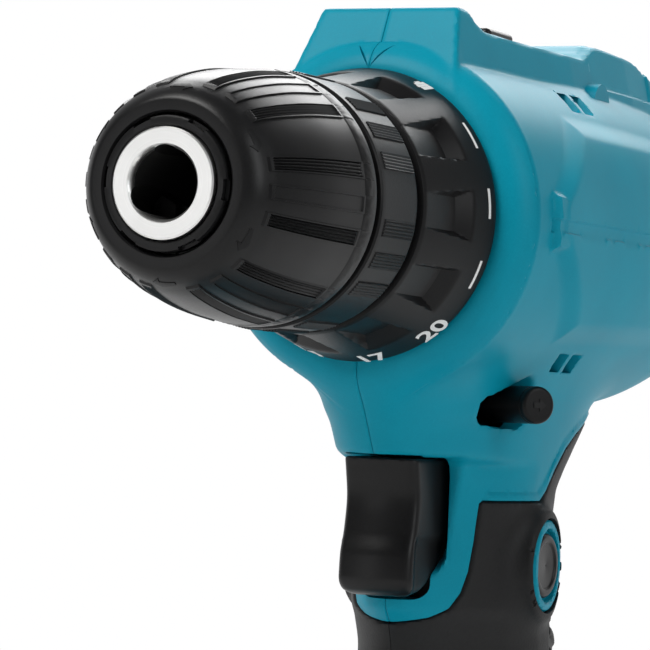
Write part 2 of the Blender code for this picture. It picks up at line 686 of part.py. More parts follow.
# ------------------------------------------------------------------ motor
def build_motor():
    front, rear = MOTOR_Y
    can_profile = [
        (4.0, front), (MOTOR_R, front), (MOTOR_R, rear), (MOTOR_R - 1.2, rear), (MOTOR_R - 1.2, front + 1.5),
        (4.0, front + 1.5),
    ]
    make_object("motor_can", turned(can_profile, 24), material("motor_can_steel", (0.3, 0.3, 0.31), 0.4, 1.0))
    bell_profile = [
        (3.2, rear + GAP), (MOTOR_R, rear + GAP), (MOTOR_R, rear + 2.5), (7.0, rear + 6.5), (3.2, rear + 6.5),
    ]
    make_object("motor_end_bell", turned(bell_profile, 20), black())
    for number, middle in ((1, 0.0), (2, 180.0)):
        make_object(f"magnet_{number}", magnet(middle, front + 4.0, rear - 14.5),
                    material("ferrite", (0.09, 0.09, 0.10), 0.7))
    shaft = make_object("rotor_shaft", rod((0, 37.2, 0), (0, rear + 5.0, 0), 2.3, 14), steel())
    join(shaft, guide("pinion", outer_gear(SUN_TEETH, (37.2, 46.0), 1.0)))
    core = ring((2.6, 13.6), (front + 6.0, rear - 15.0), 20)
    core = make_object("rotor_core", core, material("laminations", (0.35, 0.34, 0.33), 0.45, 1.0))
    slots = bmesh.new()
    for i in range(5):
        angle = math.tau * i / 5
        x, z = math.cos(angle), math.sin(angle)
        rod((x * 11.4, front + 2.0, z * 11.4), (x * 11.4, rear - 10.0, z * 11.4), 2.8, 6, slots)
    cut(core, guide("rotor_slots", slots))
    make_object("commutator", ring((2.6, 5.2), (rear - 10.5, rear - 2.0), 14),
                material("copper", (0.75, 0.36, 0.2), 0.3, 1.0))
    fan = make_object("cooling_fan", ring((2.6, 14.4), (rear - 13.5, rear - 12.3), 18), black())
    blades = bmesh.new()
    for i in range(7):
        angle = math.tau * i / 7
        blade = rod_block(angle, 7.4, 14.0, rear - 12.8, rear - 10.2)
        copy_into(blades, blade)
    join(fan, guide("fan_blades", blades))
    for number, side in ((1, -1), (2, 1)):
        brush = block(sorted((side * 5.5, side * 12.5)), (rear - 8.0, rear - 4.0), (-2.0, 2.0))
        make_object(f"brush_{number}", brush, material("carbon", (0.03, 0.03, 0.03), 0.6))


def magnet(middle, front, rear):
    """Curved magnet spanning 110 degrees inside the motor can."""
    inner, outer = 14.3, MOTOR_R - 1.6
    angles = [math.radians(middle - 55.0 + 110.0 * i / 8) for i in range(9)]
    outline = [(inner, a) for a in angles] + [(outer, a) for a in reversed(angles)]
    rings = [[place(r * math.cos(a), y, r * math.sin(a)) for r, a in outline] for y in (front, rear)]
    return loft(rings)


def rod_block(angle, near, far, front, rear):
    """Thin radial fan blade."""
    bm = bmesh.new()
    size = Vector((far - near, rear - front, 0.9)) * MM
    bmesh.ops.create_cube(bm, size=1.0, matrix=Matrix.Diagonal((*size, 1.0)))
    middle = (near + far) / 2
    turn = Matrix.Rotation(-angle, 4, "Y") @ Matrix.Translation(Vector((middle * MM, 0, 0)))
    bmesh.ops.transform(bm, matrix=Matrix.Translation(place(0, (front + rear) / 2, 0)) @ turn, verts=bm.verts)
    return bm


def copy_into(target, source):
    mesh = bpy.data.meshes.new("joined")
    source.to_mesh(mesh)
    source.free()
    target.from_mesh(mesh)
    bpy.data.meshes.remove(mesh)


# ------------------------------------------------------------------ trigger, switch and lever
def build_controls():
    outline = [
        (11.0, -42.6), (11.6, -45.5), (12.9, -50.5), (13.5, -55.0), (13.0, -60.0), (11.8, -65.0),
        (11.6, -68.0), (13.6, -69.4), (28.6, -69.4), (28.6, -42.6),
    ]
    paddle = make_object("trigger", prism(outline, (-7.1, 7.1)), black())
    edges = paddle.modifiers.new("rounded", "BEVEL")
    edges.width = 1.2 * MM
    edges.segments = 2
    edges.limit_method = "ANGLE"
    edges.angle_limit = math.radians(50)
    join(paddle, guide("trigger_plunger", rod((0, 27.0, -56.0), (0, 40.0, -56.0), 3.0, 14)))
    hang(pivot("trigger_axis", 0, 27.0, -56.0), paddle)
    switch = make_object("switch_body", block((-11.0, 11.0), (36.2, 61.0), (-79.0, -45.0), 1.0), black())
    cut(switch, guide("switch_plunger_hole", rod((0, 30.0, -56.0), (0, 50.0, -56.0), 3.4, 14)))
    side = 3.5
    path = [(24.8, 28.3), (16.8, 33.9), (9.5, 39.0), (3.5, 40.6), (-2.5, 39.0), (-9.8, 33.9), (-17.8, 28.3)]
    lever = wire_object("direction_lever", [(x, y, -33.0) for x, y in path], side, 3, black())
    hang(pivot("direction_lever_axis", side, 40.6, -33.0), lever)
    for name, x, colour in (("lead_red", 6.0, (0.45, 0.02, 0.02)), ("lead_black", -6.0, BLACK)):
        wire_object(name, lead_route(x), 1.1, 1, material(name, colour, 0.5))


def lead_route(x):
    """Battery lead: up from the terminals, forwards inside the foot, then up the handle to the switch."""
    corners = [Vector(p) for p in ((x, 74.0, -137.9), (x, 73.0, -133.6), (x, 58.0, -131.0), (x, 50.0, -122.0),
                                   (x, 50.0, -100.0), (x, 50.0, -79.4))]
    route = [corners[0]]
    steps = 4
    for a, b, c in zip(corners, corners[1:], corners[2:]):
        start, end = (a + b) / 2, (b + c) / 2
        for i in range(steps + 1):
            t = i / steps
            route.append(start * (1 - t) ** 2 + b * 2 * t * (1 - t) + end * t * t)
    route.append(corners[-1])
    return [tuple(point) for point in route]


# ------------------------------------------------------------------ battery
def build_battery():
    half, front, rear = BATTERY_BOX
    top = FOOT_BOTTOM - GAP
    split = -162.0
    base = -AXIS_HEIGHT
    terminals = make_object("terminal_block", block((-22.0, 22.0), (66.3, 82.0), (-149.6, -138.4)), black())
    blades = bmesh.new()
    for x in (-14.0, 0.0, 14.0):
        box(blades, (x - 0.5, x + 0.5), (50.0, 67.0), (-144.6, -140.6))
    join(terminals, guide("terminal_blades", blades))

    case_sections = [
        (split + 0.15, front, rear, half), (top - 1.2, front, rear, half),
        (top, front + 1.2, rear - 1.2, half - 1.2),
    ]
    case_top = make_object("battery_top", loft(flat_sections(case_sections, 20)), black())
    join(case_top, guide("battery_neck", block((-22.4, 22.4), (-8.4, 65.0), (-152.0, -144.6))),
         guide("battery_head", block((-26.4, 26.4), (-8.4, 65.0), (-145.0, -139.6))))
    inside = [(z, front + 6.0, rear - 2.5, half - 2.5) for z in (split - 5.0, top - 2.5)]
    cut(case_top, guide("battery_top_inside", loft(flat_sections(inside, 12))))
    grooves = bmesh.new()
    for x in (-14.0, 0.0, 14.0):
        box(grooves, (x - 1.4, x + 1.4), (46.0, 70.0), (-146.0, -135.0))
    cut(case_top, guide("battery_terminal_slots", grooves))
    cut(case_top, guide("latch_pocket", block((-13.0, 13.0), (-20.0, -9.2), (-161.2, -130.0))))

    tray_sections = [
        (base, front + 2.0, rear - 2.0, half - 2.0), (base + 2.0, front, rear, half),
        (split - 0.15, front, rear, half),
    ]
    tray = make_object("battery_tray", loft(flat_sections(tray_sections, 20)), black())
    hollow = [(z, front + 2.6, rear - 2.6, half - 2.6) for z in (base + 2.6, split + 3.0)]
    cut(tray, guide("battery_tray_inside", loft(flat_sections(hollow, 12))))

    cells = make_object("battery_cells", rod((-32.5, 8.0, -178.0), (32.5, 8.0, -178.0), 9.1, 14),
                        material("cell_wrap", (0.1, 0.32, 0.2), 0.4))
    others = bmesh.new()
    for i in range(1, 5):
        y = 8.0 + 18.4 * i
        rod((-32.5, y, -178.0), (32.5, y, -178.0), 9.1, 14, others)
    straps = bmesh.new()
    for x in (-33.0, 32.0):
        box(straps, (x, x + 1.0), (4.0, 86.0), (-181.0, -175.0))
    join(cells, guide("cell_straps", straps), guide("other_cells", others))

    latch = make_object("battery_latch", block((-12.4, 12.4), (-12.2, -9.6), (-157.2, -146.8), 0.7), black())
    ribs = bmesh.new()
    for z in (-155.5, -153.2, -150.9):
        box(ribs, (-9.0, 9.0), (-13.5, -11.6), (z, z + 0.9))
    cut(latch, guide("latch_grooves", ribs))
    hang(pivot("battery_latch_axis", 0, -11.0, -152.0), latch)
    hang(pivot("battery_axis", 0, 45.0, -150.0), case_top, tray, cells)


# ------------------------------------------------------------------ assembly
def clear_scene():
    for item in list(bpy.data.objects):
        bpy.data.objects.remove(item, do_unlink=True)


def main():
    clear_scene()
    build_housing()
    build_grips()
    build_screws()
    build_spindle()
    build_chuck()
    build_sleeve()
    build_jaws()
    build_gear_case()
    second_ring = build_gears()
    build_clutch()
    build_selector(second_ring)
    build_motor()
    build_controls()
    build_battery()


main()
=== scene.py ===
"""Looks of the cordless drill driver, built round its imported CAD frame.

Lengths below are millimetres from the drill's own datum: x from the middle plane, y backwards from the front
face of the housing, z up from the spindle axis. The datum comes from the frame's torque ring.
"""

import math

import bmesh
import bpy
import numpy as np
from mathutils import Matrix, Vector


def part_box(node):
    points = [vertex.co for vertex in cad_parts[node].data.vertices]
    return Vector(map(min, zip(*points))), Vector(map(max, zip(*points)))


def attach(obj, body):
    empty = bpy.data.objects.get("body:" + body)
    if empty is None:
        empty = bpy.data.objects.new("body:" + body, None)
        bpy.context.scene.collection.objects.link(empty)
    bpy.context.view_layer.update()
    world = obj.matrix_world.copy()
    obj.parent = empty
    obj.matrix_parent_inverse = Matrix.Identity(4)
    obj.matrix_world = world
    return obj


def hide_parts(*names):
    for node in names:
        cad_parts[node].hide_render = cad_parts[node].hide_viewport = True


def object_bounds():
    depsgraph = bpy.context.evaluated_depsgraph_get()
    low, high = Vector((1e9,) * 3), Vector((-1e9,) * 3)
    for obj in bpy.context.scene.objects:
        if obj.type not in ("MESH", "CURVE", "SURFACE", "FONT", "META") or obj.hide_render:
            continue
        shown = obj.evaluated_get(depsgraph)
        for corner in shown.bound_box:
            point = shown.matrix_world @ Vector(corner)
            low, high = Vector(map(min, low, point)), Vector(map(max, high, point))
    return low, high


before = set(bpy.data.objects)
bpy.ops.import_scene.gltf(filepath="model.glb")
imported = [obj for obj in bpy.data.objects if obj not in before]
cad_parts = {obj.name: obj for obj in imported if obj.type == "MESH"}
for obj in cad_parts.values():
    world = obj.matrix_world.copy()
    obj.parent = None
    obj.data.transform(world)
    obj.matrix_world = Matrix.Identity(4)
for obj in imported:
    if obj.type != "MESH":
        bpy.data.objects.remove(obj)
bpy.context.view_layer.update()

MM = 0.001
RING_LOW, RING_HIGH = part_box("torque_ring")
DATUM = Vector((0.0, RING_HIGH.y, (RING_LOW.z + RING_HIGH.z) / 2))
COARSE = 1.0


def at(x, y, z):
    """Row position, in metres, of a point in drill millimetres."""
    return Vector((x, y, z)) * MM + DATUM


def span(node):
    """Box of a CAD node in drill millimetres: (x, y, z) of its low and of its high corner."""
    low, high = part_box(node)
    return tuple((low - DATUM) / MM), tuple((high - DATUM) / MM)


# ------------------------------------------------------------------ materials
GLOSS_SPREAD = 0.08               # how far the grain moves a surface's roughness to either side


def node(tree, kind, **values):
    made = tree.nodes.new(kind)
    for name, value in values.items():
        if hasattr(made, name):
            setattr(made, name, value)
        else:
            made.inputs[name.replace("_", " ")].default_value = value
    return made


def finish(name, dark, light, roughness, metallic=0.0, grain=900.0, patch=60.0, relief=0.03,
           turned=False, shine=0.5):
    """Procedural surface: broad colour patches over a fine grain, which also sets roughness and bump.

    turned draws the grain out into rings about the spindle axis, as a lathe leaves it.
    """
    found = bpy.data.materials.get(name)
    if found:
        return found
    made = bpy.data.materials.new(name)
    made.use_nodes = True
    tree = made.node_tree
    link = tree.links.new
    shader = tree.nodes["Principled BSDF"]
    shader.inputs["Metallic"].default_value = metallic
    shader.inputs["Specular IOR Level"].default_value = shine
    where = node(tree, "ShaderNodeTexCoord").outputs["Object"]
    fine_place = where
    if turned:
        split = node(tree, "ShaderNodeSeparateXYZ")
        link(where, split.inputs[0])
        lift = node(tree, "ShaderNodeMath", operation="SUBTRACT")
        link(split.outputs[2], lift.inputs[0])
        lift.inputs[1].default_value = DATUM.z
        flat = node(tree, "ShaderNodeCombineXYZ")
        link(split.outputs[0], flat.inputs[0])
        link(lift.outputs[0], flat.inputs[1])
        radius = node(tree, "ShaderNodeVectorMath", operation="LENGTH")
        link(flat.outputs[0], radius.inputs[0])
        turned_place = node(tree, "ShaderNodeCombineXYZ")
        link(radius.outputs["Value"], turned_place.inputs[0])
        link(split.outputs[1], turned_place.inputs[1])
        fine_place = turned_place.outputs[0]
    broad = node(tree, "ShaderNodeTexNoise", Scale=patch, Detail=4.0)
    link(where, broad.inputs["Vector"])
    fine = node(tree, "ShaderNodeTexNoise", Scale=grain, Detail=3.0, Roughness=0.6)
    link(fine_place, fine.inputs["Vector"])
    both = node(tree, "ShaderNodeMix", data_type="FLOAT", blend_type="MIX")
    both.inputs[0].default_value = 0.45
    link(broad.outputs[0], both.inputs[2])
    link(fine.outputs[0], both.inputs[3])
    shades = node(tree, "ShaderNodeValToRGB")
    for stop, position, colour in zip(shades.color_ramp.elements, (0.36, 0.64), (dark, light)):
        stop.position = position
        stop.color = (*colour, 1.0)
    link(both.outputs[0], shades.inputs[0])
    link(shades.outputs[0], shader.inputs["Base Color"])
    gloss = node(tree, "ShaderNodeMapRange")
    gloss.inputs["To Min"].default_value = roughness - GLOSS_SPREAD
    gloss.inputs["To Max"].default_value = roughness + GLOSS_SPREAD
    link(fine.outputs[0], gloss.inputs["Value"])
    link(gloss.outputs[0], shader.inputs["Roughness"])
    bump = node(tree, "ShaderNodeBump", Strength=0.6, Distance=relief * MM)
    link(fine.outputs[0], bump.inputs["Height"])
    link(bump.outputs[0], shader.inputs["Normal"])
    return made


def teal():
    return finish("teal_moulding", (0.001, 0.25, 0.355), (0.002, 0.285, 0.4), 0.42, grain=2600, relief=0.022,
                  shine=0.1)


def black():
    return finish("black_moulding", (0.005, 0.005, 0.0055), (0.008, 0.008, 0.0085), 0.38, grain=2400,
                  relief=0.03, shine=0.17)


def black_satin():
    return finish("black_satin", (0.0065, 0.0065, 0.007), (0.01, 0.01, 0.0105), 0.34, grain=3000, relief=0.02,
                  shine=0.22)


def rubber():
    return finish("rubber_grip", (0.008, 0.008, 0.0085), (0.014, 0.014, 0.0145), 0.55, grain=1500,
                  relief=0.07, shine=0.25)


def bright_steel():
    return finish("nose_steel", (0.76, 0.76, 0.75), (0.88, 0.88, 0.87), 0.34, 1.0, grain=5200, relief=0.006,
                  turned=True)


def dark_steel():
    return finish("jaw_steel", (0.10, 0.10, 0.10), (0.17, 0.17, 0.17), 0.38, 1.0, grain=2600, relief=0.01)


def ink():
    return finish("white_ink", (0.74, 0.74, 0.73), (0.86, 0.86, 0.85), 0.5, grain=3600, relief=0.01)


LOOKS = {
    "teal_plastic": teal,
    "black_plastic": black,
    "rubber": rubber,
    "steel": lambda: finish("turned_steel", (0.42, 0.42, 0.41), (0.6, 0.6, 0.59), 0.33, 1.0, 3800,
                            turned=True,
                            relief=0.01),
    "chuck_steel": bright_steel,
    "cast_alloy": lambda: finish("cast_alloy_skin", (0.3, 0.3, 0.31), (0.46, 0.46, 0.47), 0.55, 1.0, 1300,
                                 relief=0.08),
    "motor_can_steel": lambda: finish("plated_can", (0.34, 0.35, 0.36), (0.5, 0.51, 0.52), 0.32, 1.0, 2100,
                                      turned=True),
    "ferrite": lambda: finish("ferrite_block", (0.03, 0.03, 0.033), (0.06, 0.06, 0.062), 0.75, 0.0, 1600,
                              relief=0.06),
    "carbon": lambda: finish("carbon_brush", (0.018, 0.018, 0.018), (0.04, 0.04, 0.04), 0.6, 0.0, 2000),
    "laminations": lambda: finish("stacked_steel", (0.16, 0.16, 0.16), (0.42, 0.41, 0.4), 0.42, 1.0, 4600,
                                  turned=True,
                                  relief=0.05),
    "copper": lambda: finish("bare_copper", (0.52, 0.2, 0.1), (0.78, 0.36, 0.2), 0.3, 1.0, 3000, turned=True),
    "cell_wrap": lambda: finish("cell_sleeve", (0.02, 0.13, 0.075), (0.03, 0.18, 0.1), 0.35, 0.0, 700),
    "lead_red": lambda: finish("red_sleeving", (0.3, 0.008, 0.008), (0.42, 0.012, 0.01), 0.42, 0.0, 1500),
    "lead_black": lambda: finish("black_sleeving", (0.01, 0.01, 0.01), (0.02, 0.02, 0.02), 0.42, 0.0, 1500),
}


def dress_frame():
    """Give every CAD node a worked surface in place of its plain colour."""
    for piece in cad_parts.values():
        for index, old in enumerate(piece.data.materials):
            look = LOOKS.get(old.name.split(".")[0]) if old else None
            if look:
                piece.data.materials[index] = look()


# ------------------------------------------------------------------ mesh helpers
def mesh_object(name, points, faces, material, angle=38.0):
    """Object from arrays of points, in drill millimetres, and of faces."""
    mesh = bpy.data.meshes.new(name)
    placed = np.asarray(points, float) * MM + np.array(DATUM)
    mesh.from_pydata(placed.tolist(), [], [list(map(int, face)) for face in faces])
    return shaded(name, mesh, material, angle)


def shaded(name, mesh, material, angle=38.0):
    mesh.materials.clear()
    mesh.materials.append(material)
    mesh.shade_smooth()
    mesh.set_sharp_from_angle(angle=math.radians(angle))
    made = bpy.data.objects.new(name, mesh)
    bpy.context.scene.collection.objects.link(made)
    return made


def from_bmesh(name, bm, material, angle=38.0):
    """Object from a bmesh that was built in drill millimetres."""
    bmesh.ops.recalc_face_normals(bm, faces=bm.faces)
    bmesh.ops.transform(bm, matrix=Matrix.Translation(DATUM) @ Matrix.Scale(MM, 4), verts=bm.verts)
    mesh = bpy.data.meshes.new(name)
    bm.to_mesh(mesh)
    bm.free()
    return shaded(name, mesh, material, angle)


def carve(piece, operation, *tools):
    """Cut, join or keep with closed tools, then bake the result and drop the tools."""
    for tool in tools:
        step = piece.modifiers.new(operation.lower(), "BOOLEAN")
        step.operation = operation
        step.solver = "MANIFOLD"
        step.object = tool
    mesh = bpy.data.meshes.new_from_object(piece.evaluated_get(bpy.context.evaluated_depsgraph_get()))
    piece.modifiers.clear()
    piece.data = mesh
    for tool in tools:
        bpy.data.objects.remove(tool, do_unlink=True)
    return piece


def smooth_again(piece, material, angle=38.0):
    piece.data.materials.clear()
    piece.data.materials.append(material)
    piece.data.polygons.foreach_set("material_index", [0] * len(piece.data.polygons))
    piece.data.shade_smooth()
    piece.data.set_sharp_from_angle(angle=math.radians(angle))
    return piece


def settle(piece, body, slot, *nodes):
    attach(piece, body)
    if nodes:
        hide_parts(*nodes)
    return piece


def box(bm, x, y, z, bevel=0.0):
    size = Vector((x[1] - x[0], y[1] - y[0], z[1] - z[0]))
    middle = Vector(((x[0] + x[1]) / 2, (y[0] + y[1]) / 2, (z[0] + z[1]) / 2))
    made = bmesh.ops.create_cube(bm, size=1.0,
                                 matrix=Matrix.Translation(middle) @ Matrix.Diagonal((*size, 1.0)))
    if bevel:
        edges = list({edge for vert in made["verts"] for edge in vert.link_edges})
        bmesh.ops.bevel(bm, geom=edges, offset=bevel, segments=2, affect="EDGES")
    return bm


def rod(bm, start, end, radius, steps=32):
    low, high = Vector(start), Vector(end)
    along = high - low
    turn = along.to_track_quat("Z", "Y").to_matrix().to_4x4()
    bmesh.ops.create_cone(bm, cap_ends=True, segments=steps, radius1=radius, radius2=radius,
                          depth=along.length,
                          matrix=Matrix.Translation((low + high) / 2) @ turn)
    return bm


def tool(bm):
    return from_bmesh("tool", bm, black())


def box_tool(x, y, z):
    return tool(box(bmesh.new(), x, y, z))


def rod_tool(start, end, radius, steps=32):
    return tool(rod(bmesh.new(), start, end, radius, steps))


# ------------------------------------------------------------------ turned pieces
def rounded(profile, radius=0.35, cuts=3):
    """Closed (radius, y) outline with each corner rounded off."""
    points = [Vector(p) for p in profile]
    result = []
    for i, corner in enumerate(points):
        before, after = points[i - 1], points[(i + 1) % len(points)]
        reach_in = min(radius, (before - corner).length * 0.45)
        reach_out = min(radius, (after - corner).length * 0.45)
        start = corner + (before - corner).normalized() * reach_in
        stop = corner + (after - corner).normalized() * reach_out
        for step in range(cuts + 1):
            t = step / cuts
            result.append(tuple(start * (1 - t) ** 2 + corner * 2 * t * (1 - t) + stop * t * t))
    return result


def lathe_points(outline, angles, change=None):
    """Grid of points: a row for each outline point and a column for each angle, from the top towards +X."""
    profile = np.array(outline, float)
    radius = np.repeat(profile[:, :1], len(angles), 1)
    y = np.repeat(profile[:, 1:], len(angles), 1)
    theta = np.repeat(np.asarray(angles, float)[None], len(profile), 0)
    if change:
        radius = change(radius, y, theta)
    return np.stack([radius * np.sin(theta), y, radius * np.cos(theta)], -1)


def lathe(name, outline, angles, material, change=None, angle=38.0):
    """Closed turned piece. change(radius, y, theta) gives the radius after ribs and recesses."""
    grid = lathe_points(outline, angles, change)
    rows, columns = grid.shape[:2]
    index = np.arange(rows * columns).reshape(rows, columns)
    right, down = np.roll(index, -1, 1), np.roll(index, -1, 0)
    faces = np.stack([index, right, np.roll(right, -1, 0), down], -1).reshape(-1, 4)
    made = mesh_object(name, grid.reshape(-1, 3), faces, material, angle)
    bm = bmesh.new()
    bm.from_mesh(made.data)
    bmesh.ops.remove_doubles(bm, verts=bm.verts, dist=1e-6)
    bmesh.ops.recalc_face_normals(bm, faces=bm.faces)
    bm.to_mesh(made.data)
    bm.free()
    made.data.shade_smooth()
    made.data.set_sharp_from_angle(angle=math.radians(angle))
    return made


def even(count):
    return np.arange(count) * math.tau / count


def angles_with(breaks, widest=3.0):
    """Sorted angles, in radians, that hold every break, in degrees, and leave no gap wider than asked."""
    breaks = np.unique(np.round(np.mod(breaks, 360.0), 4))
    result = []
    for a, b in zip(breaks, np.append(breaks[1:], breaks[0] + 360.0)):
        count = max(1, math.ceil((b - a) / widest))
        result += [a + (b - a) * i / count for i in range(count)]
    return np.radians(result)


# ------------------------------------------------------------------ sculpted pieces: distance fields
TABLE_STEP = 0.25                 # spacing of the values that a curve table looks up


def soft_min(a, b, k):
    h = np.maximum(k - np.abs(a - b), 0.0) / k
    return np.minimum(a, b) - h * h * k / 4


def soft_max(a, b, k):
    return -soft_min(-a, -b, k)


def ramp(value, low, high):
    t = np.clip((value - low) / (high - low), 0.0, 1.0)
    return t * t * (3 - 2 * t)


def curve_table(keys):
    """Smooth lookup through rows (key, value, ...): one function of the key for each value."""
    rows = np.array(sorted(keys), float)
    key = rows[:, 0]
    gap = np.diff(key)
    rise = np.diff(rows[:, 1:], axis=0) / gap[:, None]
    tangent = np.zeros_like(rows[:, 1:])
    tangent[0], tangent[-1] = rise[0], rise[-1]
    same = rise[:-1] * rise[1:] > 0
    weight = (gap[:-1] * 2 + gap[1:])[:, None], (gap[:-1] + gap[1:] * 2)[:, None]
    with np.errstate(divide="ignore", invalid="ignore"):
        mean = (weight[0] + weight[1]) / (weight[0] / rise[:-1] + weight[1] / rise[1:])
    tangent[1:-1] = np.where(same, mean, 0.0)
    ticks = np.arange(key[0], key[-1] + TABLE_STEP / 2, TABLE_STEP)
    cell = np.clip(np.searchsorted(key, ticks, side="right") - 1, 0, len(key) - 2)
    t = ((ticks - key[cell]) / gap[cell])[:, None]
    length = gap[cell][:, None]
    low, high = rows[cell, 1:], rows[cell + 1, 1:]
    values = ((2 * t ** 3 - 3 * t ** 2 + 1) * low + (t ** 3 - 2 * t ** 2 + t) * length * tangent[cell]
              + (3 * t ** 2 - 2 * t ** 3) * high + (t ** 3 - t ** 2) * length * tangent[cell + 1])
    return [lambda at_key, column=column: np.interp(at_key, ticks, values[:, column])
            for column in range(values.shape[1])]


def polygon(y, z, outline):
    """Signed distance to a closed outline in the (y, z) plane, negative inside."""
    y, z = np.broadcast_arrays(y, z)
    nearest = np.full(y.shape, 1e9)
    inside = np.zeros(y.shape, bool)
    for (ay, az), (by, bz) in zip(outline, outline[1:] + outline[:1]):
        ey, ez = by - ay, bz - az
        t = np.clip(((y - ay) * ey + (z - az) * ez) / (ey * ey + ez * ez), 0.0, 1.0)
        nearest = np.minimum(nearest, np.hypot(y - ay - t * ey, z - az - t * ez))
        crosses = ((az > z) != (bz > z)) & (y < ey * (z - az) / (ez if ez else 1e-9) + ay)
        inside ^= crosses
    return np.where(inside, -nearest, nearest)


def slab(value, low, high):
    return np.maximum(low - value, value - high)


def brick(x, y, z, corner=0.0):
    """Rounded block from three slab distances."""
    qx, qy, qz = x + corner, y + corner, z + corner
    outside = np.sqrt(np.maximum(qx, 0) ** 2 + np.maximum(qy, 0) ** 2 + np.maximum(qz, 0) ** 2)
    return outside + np.minimum(np.maximum(np.maximum(qx, qy), qz), 0) - corner


def plate(a, b, corner):
    """Rounded rectangle from two slab distances."""
    qa, qb = a + corner, b + corner
    return np.sqrt(np.maximum(qa, 0) ** 2 + np.maximum(qb, 0) ** 2) + np.minimum(np.maximum(qa, qb),
                                                                                 0) - corner


def rounded_section(x, y, half_a, middle, half_b, power):
    """Distance to a superellipse in the (x, y) plane."""
    u = np.maximum(np.abs(x) / half_a, 1e-6)
    v = np.maximum(np.abs(y - middle) / half_b, 1e-6)
    total = u ** power + v ** power
    s = total ** (1 / power)
    sx = (u / s) ** (power - 1) / half_a
    sy = (v / s) ** (power - 1) / half_b
    return (s - 1) / np.sqrt(sx * sx + sy * sy)


def slope(field, points, reach=0.02):
    """Unit normals of the field at points."""
    parts = []
    for axis in range(3):
        shift = np.zeros(3)
        shift[axis] = reach
        ahead, behind = points + shift, points - shift
        parts.append(field(*ahead.T) - field(*behind.T))
    result = np.stack(parts, -1)
    return result / np.maximum(np.linalg.norm(result, axis=1, keepdims=True), 1e-9)


def contour(field, low, high, step):
    """Quads on the zero surface of a field, with a corner placed on every crease: dual contouring."""
    low = np.array(low, float)
    count = [int(math.ceil((b - a) / step)) + 1 for a, b in zip(low, high)]
    axes = [low[i] + step * np.arange(count[i]) for i in range(3)]
    grids = [axes[0][:, None, None], axes[1][None, :, None], axes[2][None, None, :]]
    values = np.broadcast_to(field(*grids), count).astype(np.float32)
    inside = values < 0
    crossings, cells, flips = [], [], []
    for axis in range(3):
        near = [slice(None)] * 3
        far = [slice(None)] * 3
        near[axis], far[axis] = slice(None, -1), slice(1, None)
        where = np.argwhere(inside[tuple(near)] != inside[tuple(far)])
        ahead = where.copy()
        ahead[:, axis] += 1
        first = values[tuple(where.T)].astype(float)
        last = values[tuple(ahead.T)].astype(float)
        share = first / (first - last)
        points = low + where * step
        points[:, axis] += share * step
        for _ in range(2):
            points -= (field(*points.T) / np.maximum(np.abs(directional(field, points, axis)), 0.2)
                       * np.sign(last - first))[:, None] * np.eye(3)[axis]
            points[:, axis] = np.clip(points[:, axis], low[axis] + where[:, axis] * step,
                                      low[axis] + ahead[:, axis] * step)
        b, c = (axis + 1) % 3, (axis + 2) % 3
        around = []
        for db, dc in ((-1, -1), (0, -1), (0, 0), (-1, 0)):
            cell = where.copy()
            cell[:, b] += db
            cell[:, c] += dc
            around.append(cell)
        crossings.append(points)
        cells.append(np.stack(around, 1))
        flips.append(first > 0)
    crossings, cells, flips = np.concatenate(crossings), np.concatenate(cells), np.concatenate(flips)
    normals = slope(field, crossings)
    shape = np.array(count) - 1
    valid = ((cells >= 0) & (cells < shape)).all(-1)
    flat = (cells[..., 0] * shape[1] + cells[..., 1]) * shape[2] + cells[..., 2]
    flat[~valid] = -1
    names, index = np.unique(flat.ravel(), return_inverse=True)
    index = index.reshape(flat.shape)
    size = len(names)
    which = index.ravel()
    rows = np.repeat(np.arange(len(crossings)), 4)

    def gather(weights):
        return np.bincount(which, weights[rows], size)

    number = np.maximum(gather(np.ones(len(crossings))), 1)
    mass = np.stack([gather(crossings[:, i]) for i in range(3)], -1) / number[:, None]
    offset = (normals * crossings).sum(1)
    matrix = np.empty((size, 3, 3))
    for i in range(3):
        for j in range(3):
            matrix[:, i, j] = gather(normals[:, i] * normals[:, j])
    right = np.stack([gather(normals[:, i] * offset) for i in range(3)], -1)
    right -= np.einsum("nij,nj->ni", matrix, mass)
    matrix += np.eye(3) * 0.06 * number[:, None, None]
    points = mass + np.linalg.solve(matrix, right[..., None])[..., 0]
    cell = np.stack([names // (shape[1] * shape[2]), names // shape[2] % shape[1], names % shape[2]], -1)
    points = np.clip(points, low + cell * step, low + (cell + 1) * step)
    whole = valid.all(1)
    quads = index[whole]
    turn = flips[whole]
    quads[turn] = quads[turn][:, ::-1]
    used, remap = np.unique(quads, return_inverse=True)
    return points[used], remap.reshape(quads.shape)


def directional(field, points, axis, reach=0.02):
    shift = np.zeros(3)
    shift[axis] = reach
    ahead, behind = points + shift, points - shift
    return (field(*ahead.T) - field(*behind.T)) / (2 * reach)


def sculpt(name, field, low, high, step, material, angle=38.0):
    points, quads = contour(field, low, high, step)
    return mesh_object(name, points, quads, material, angle)


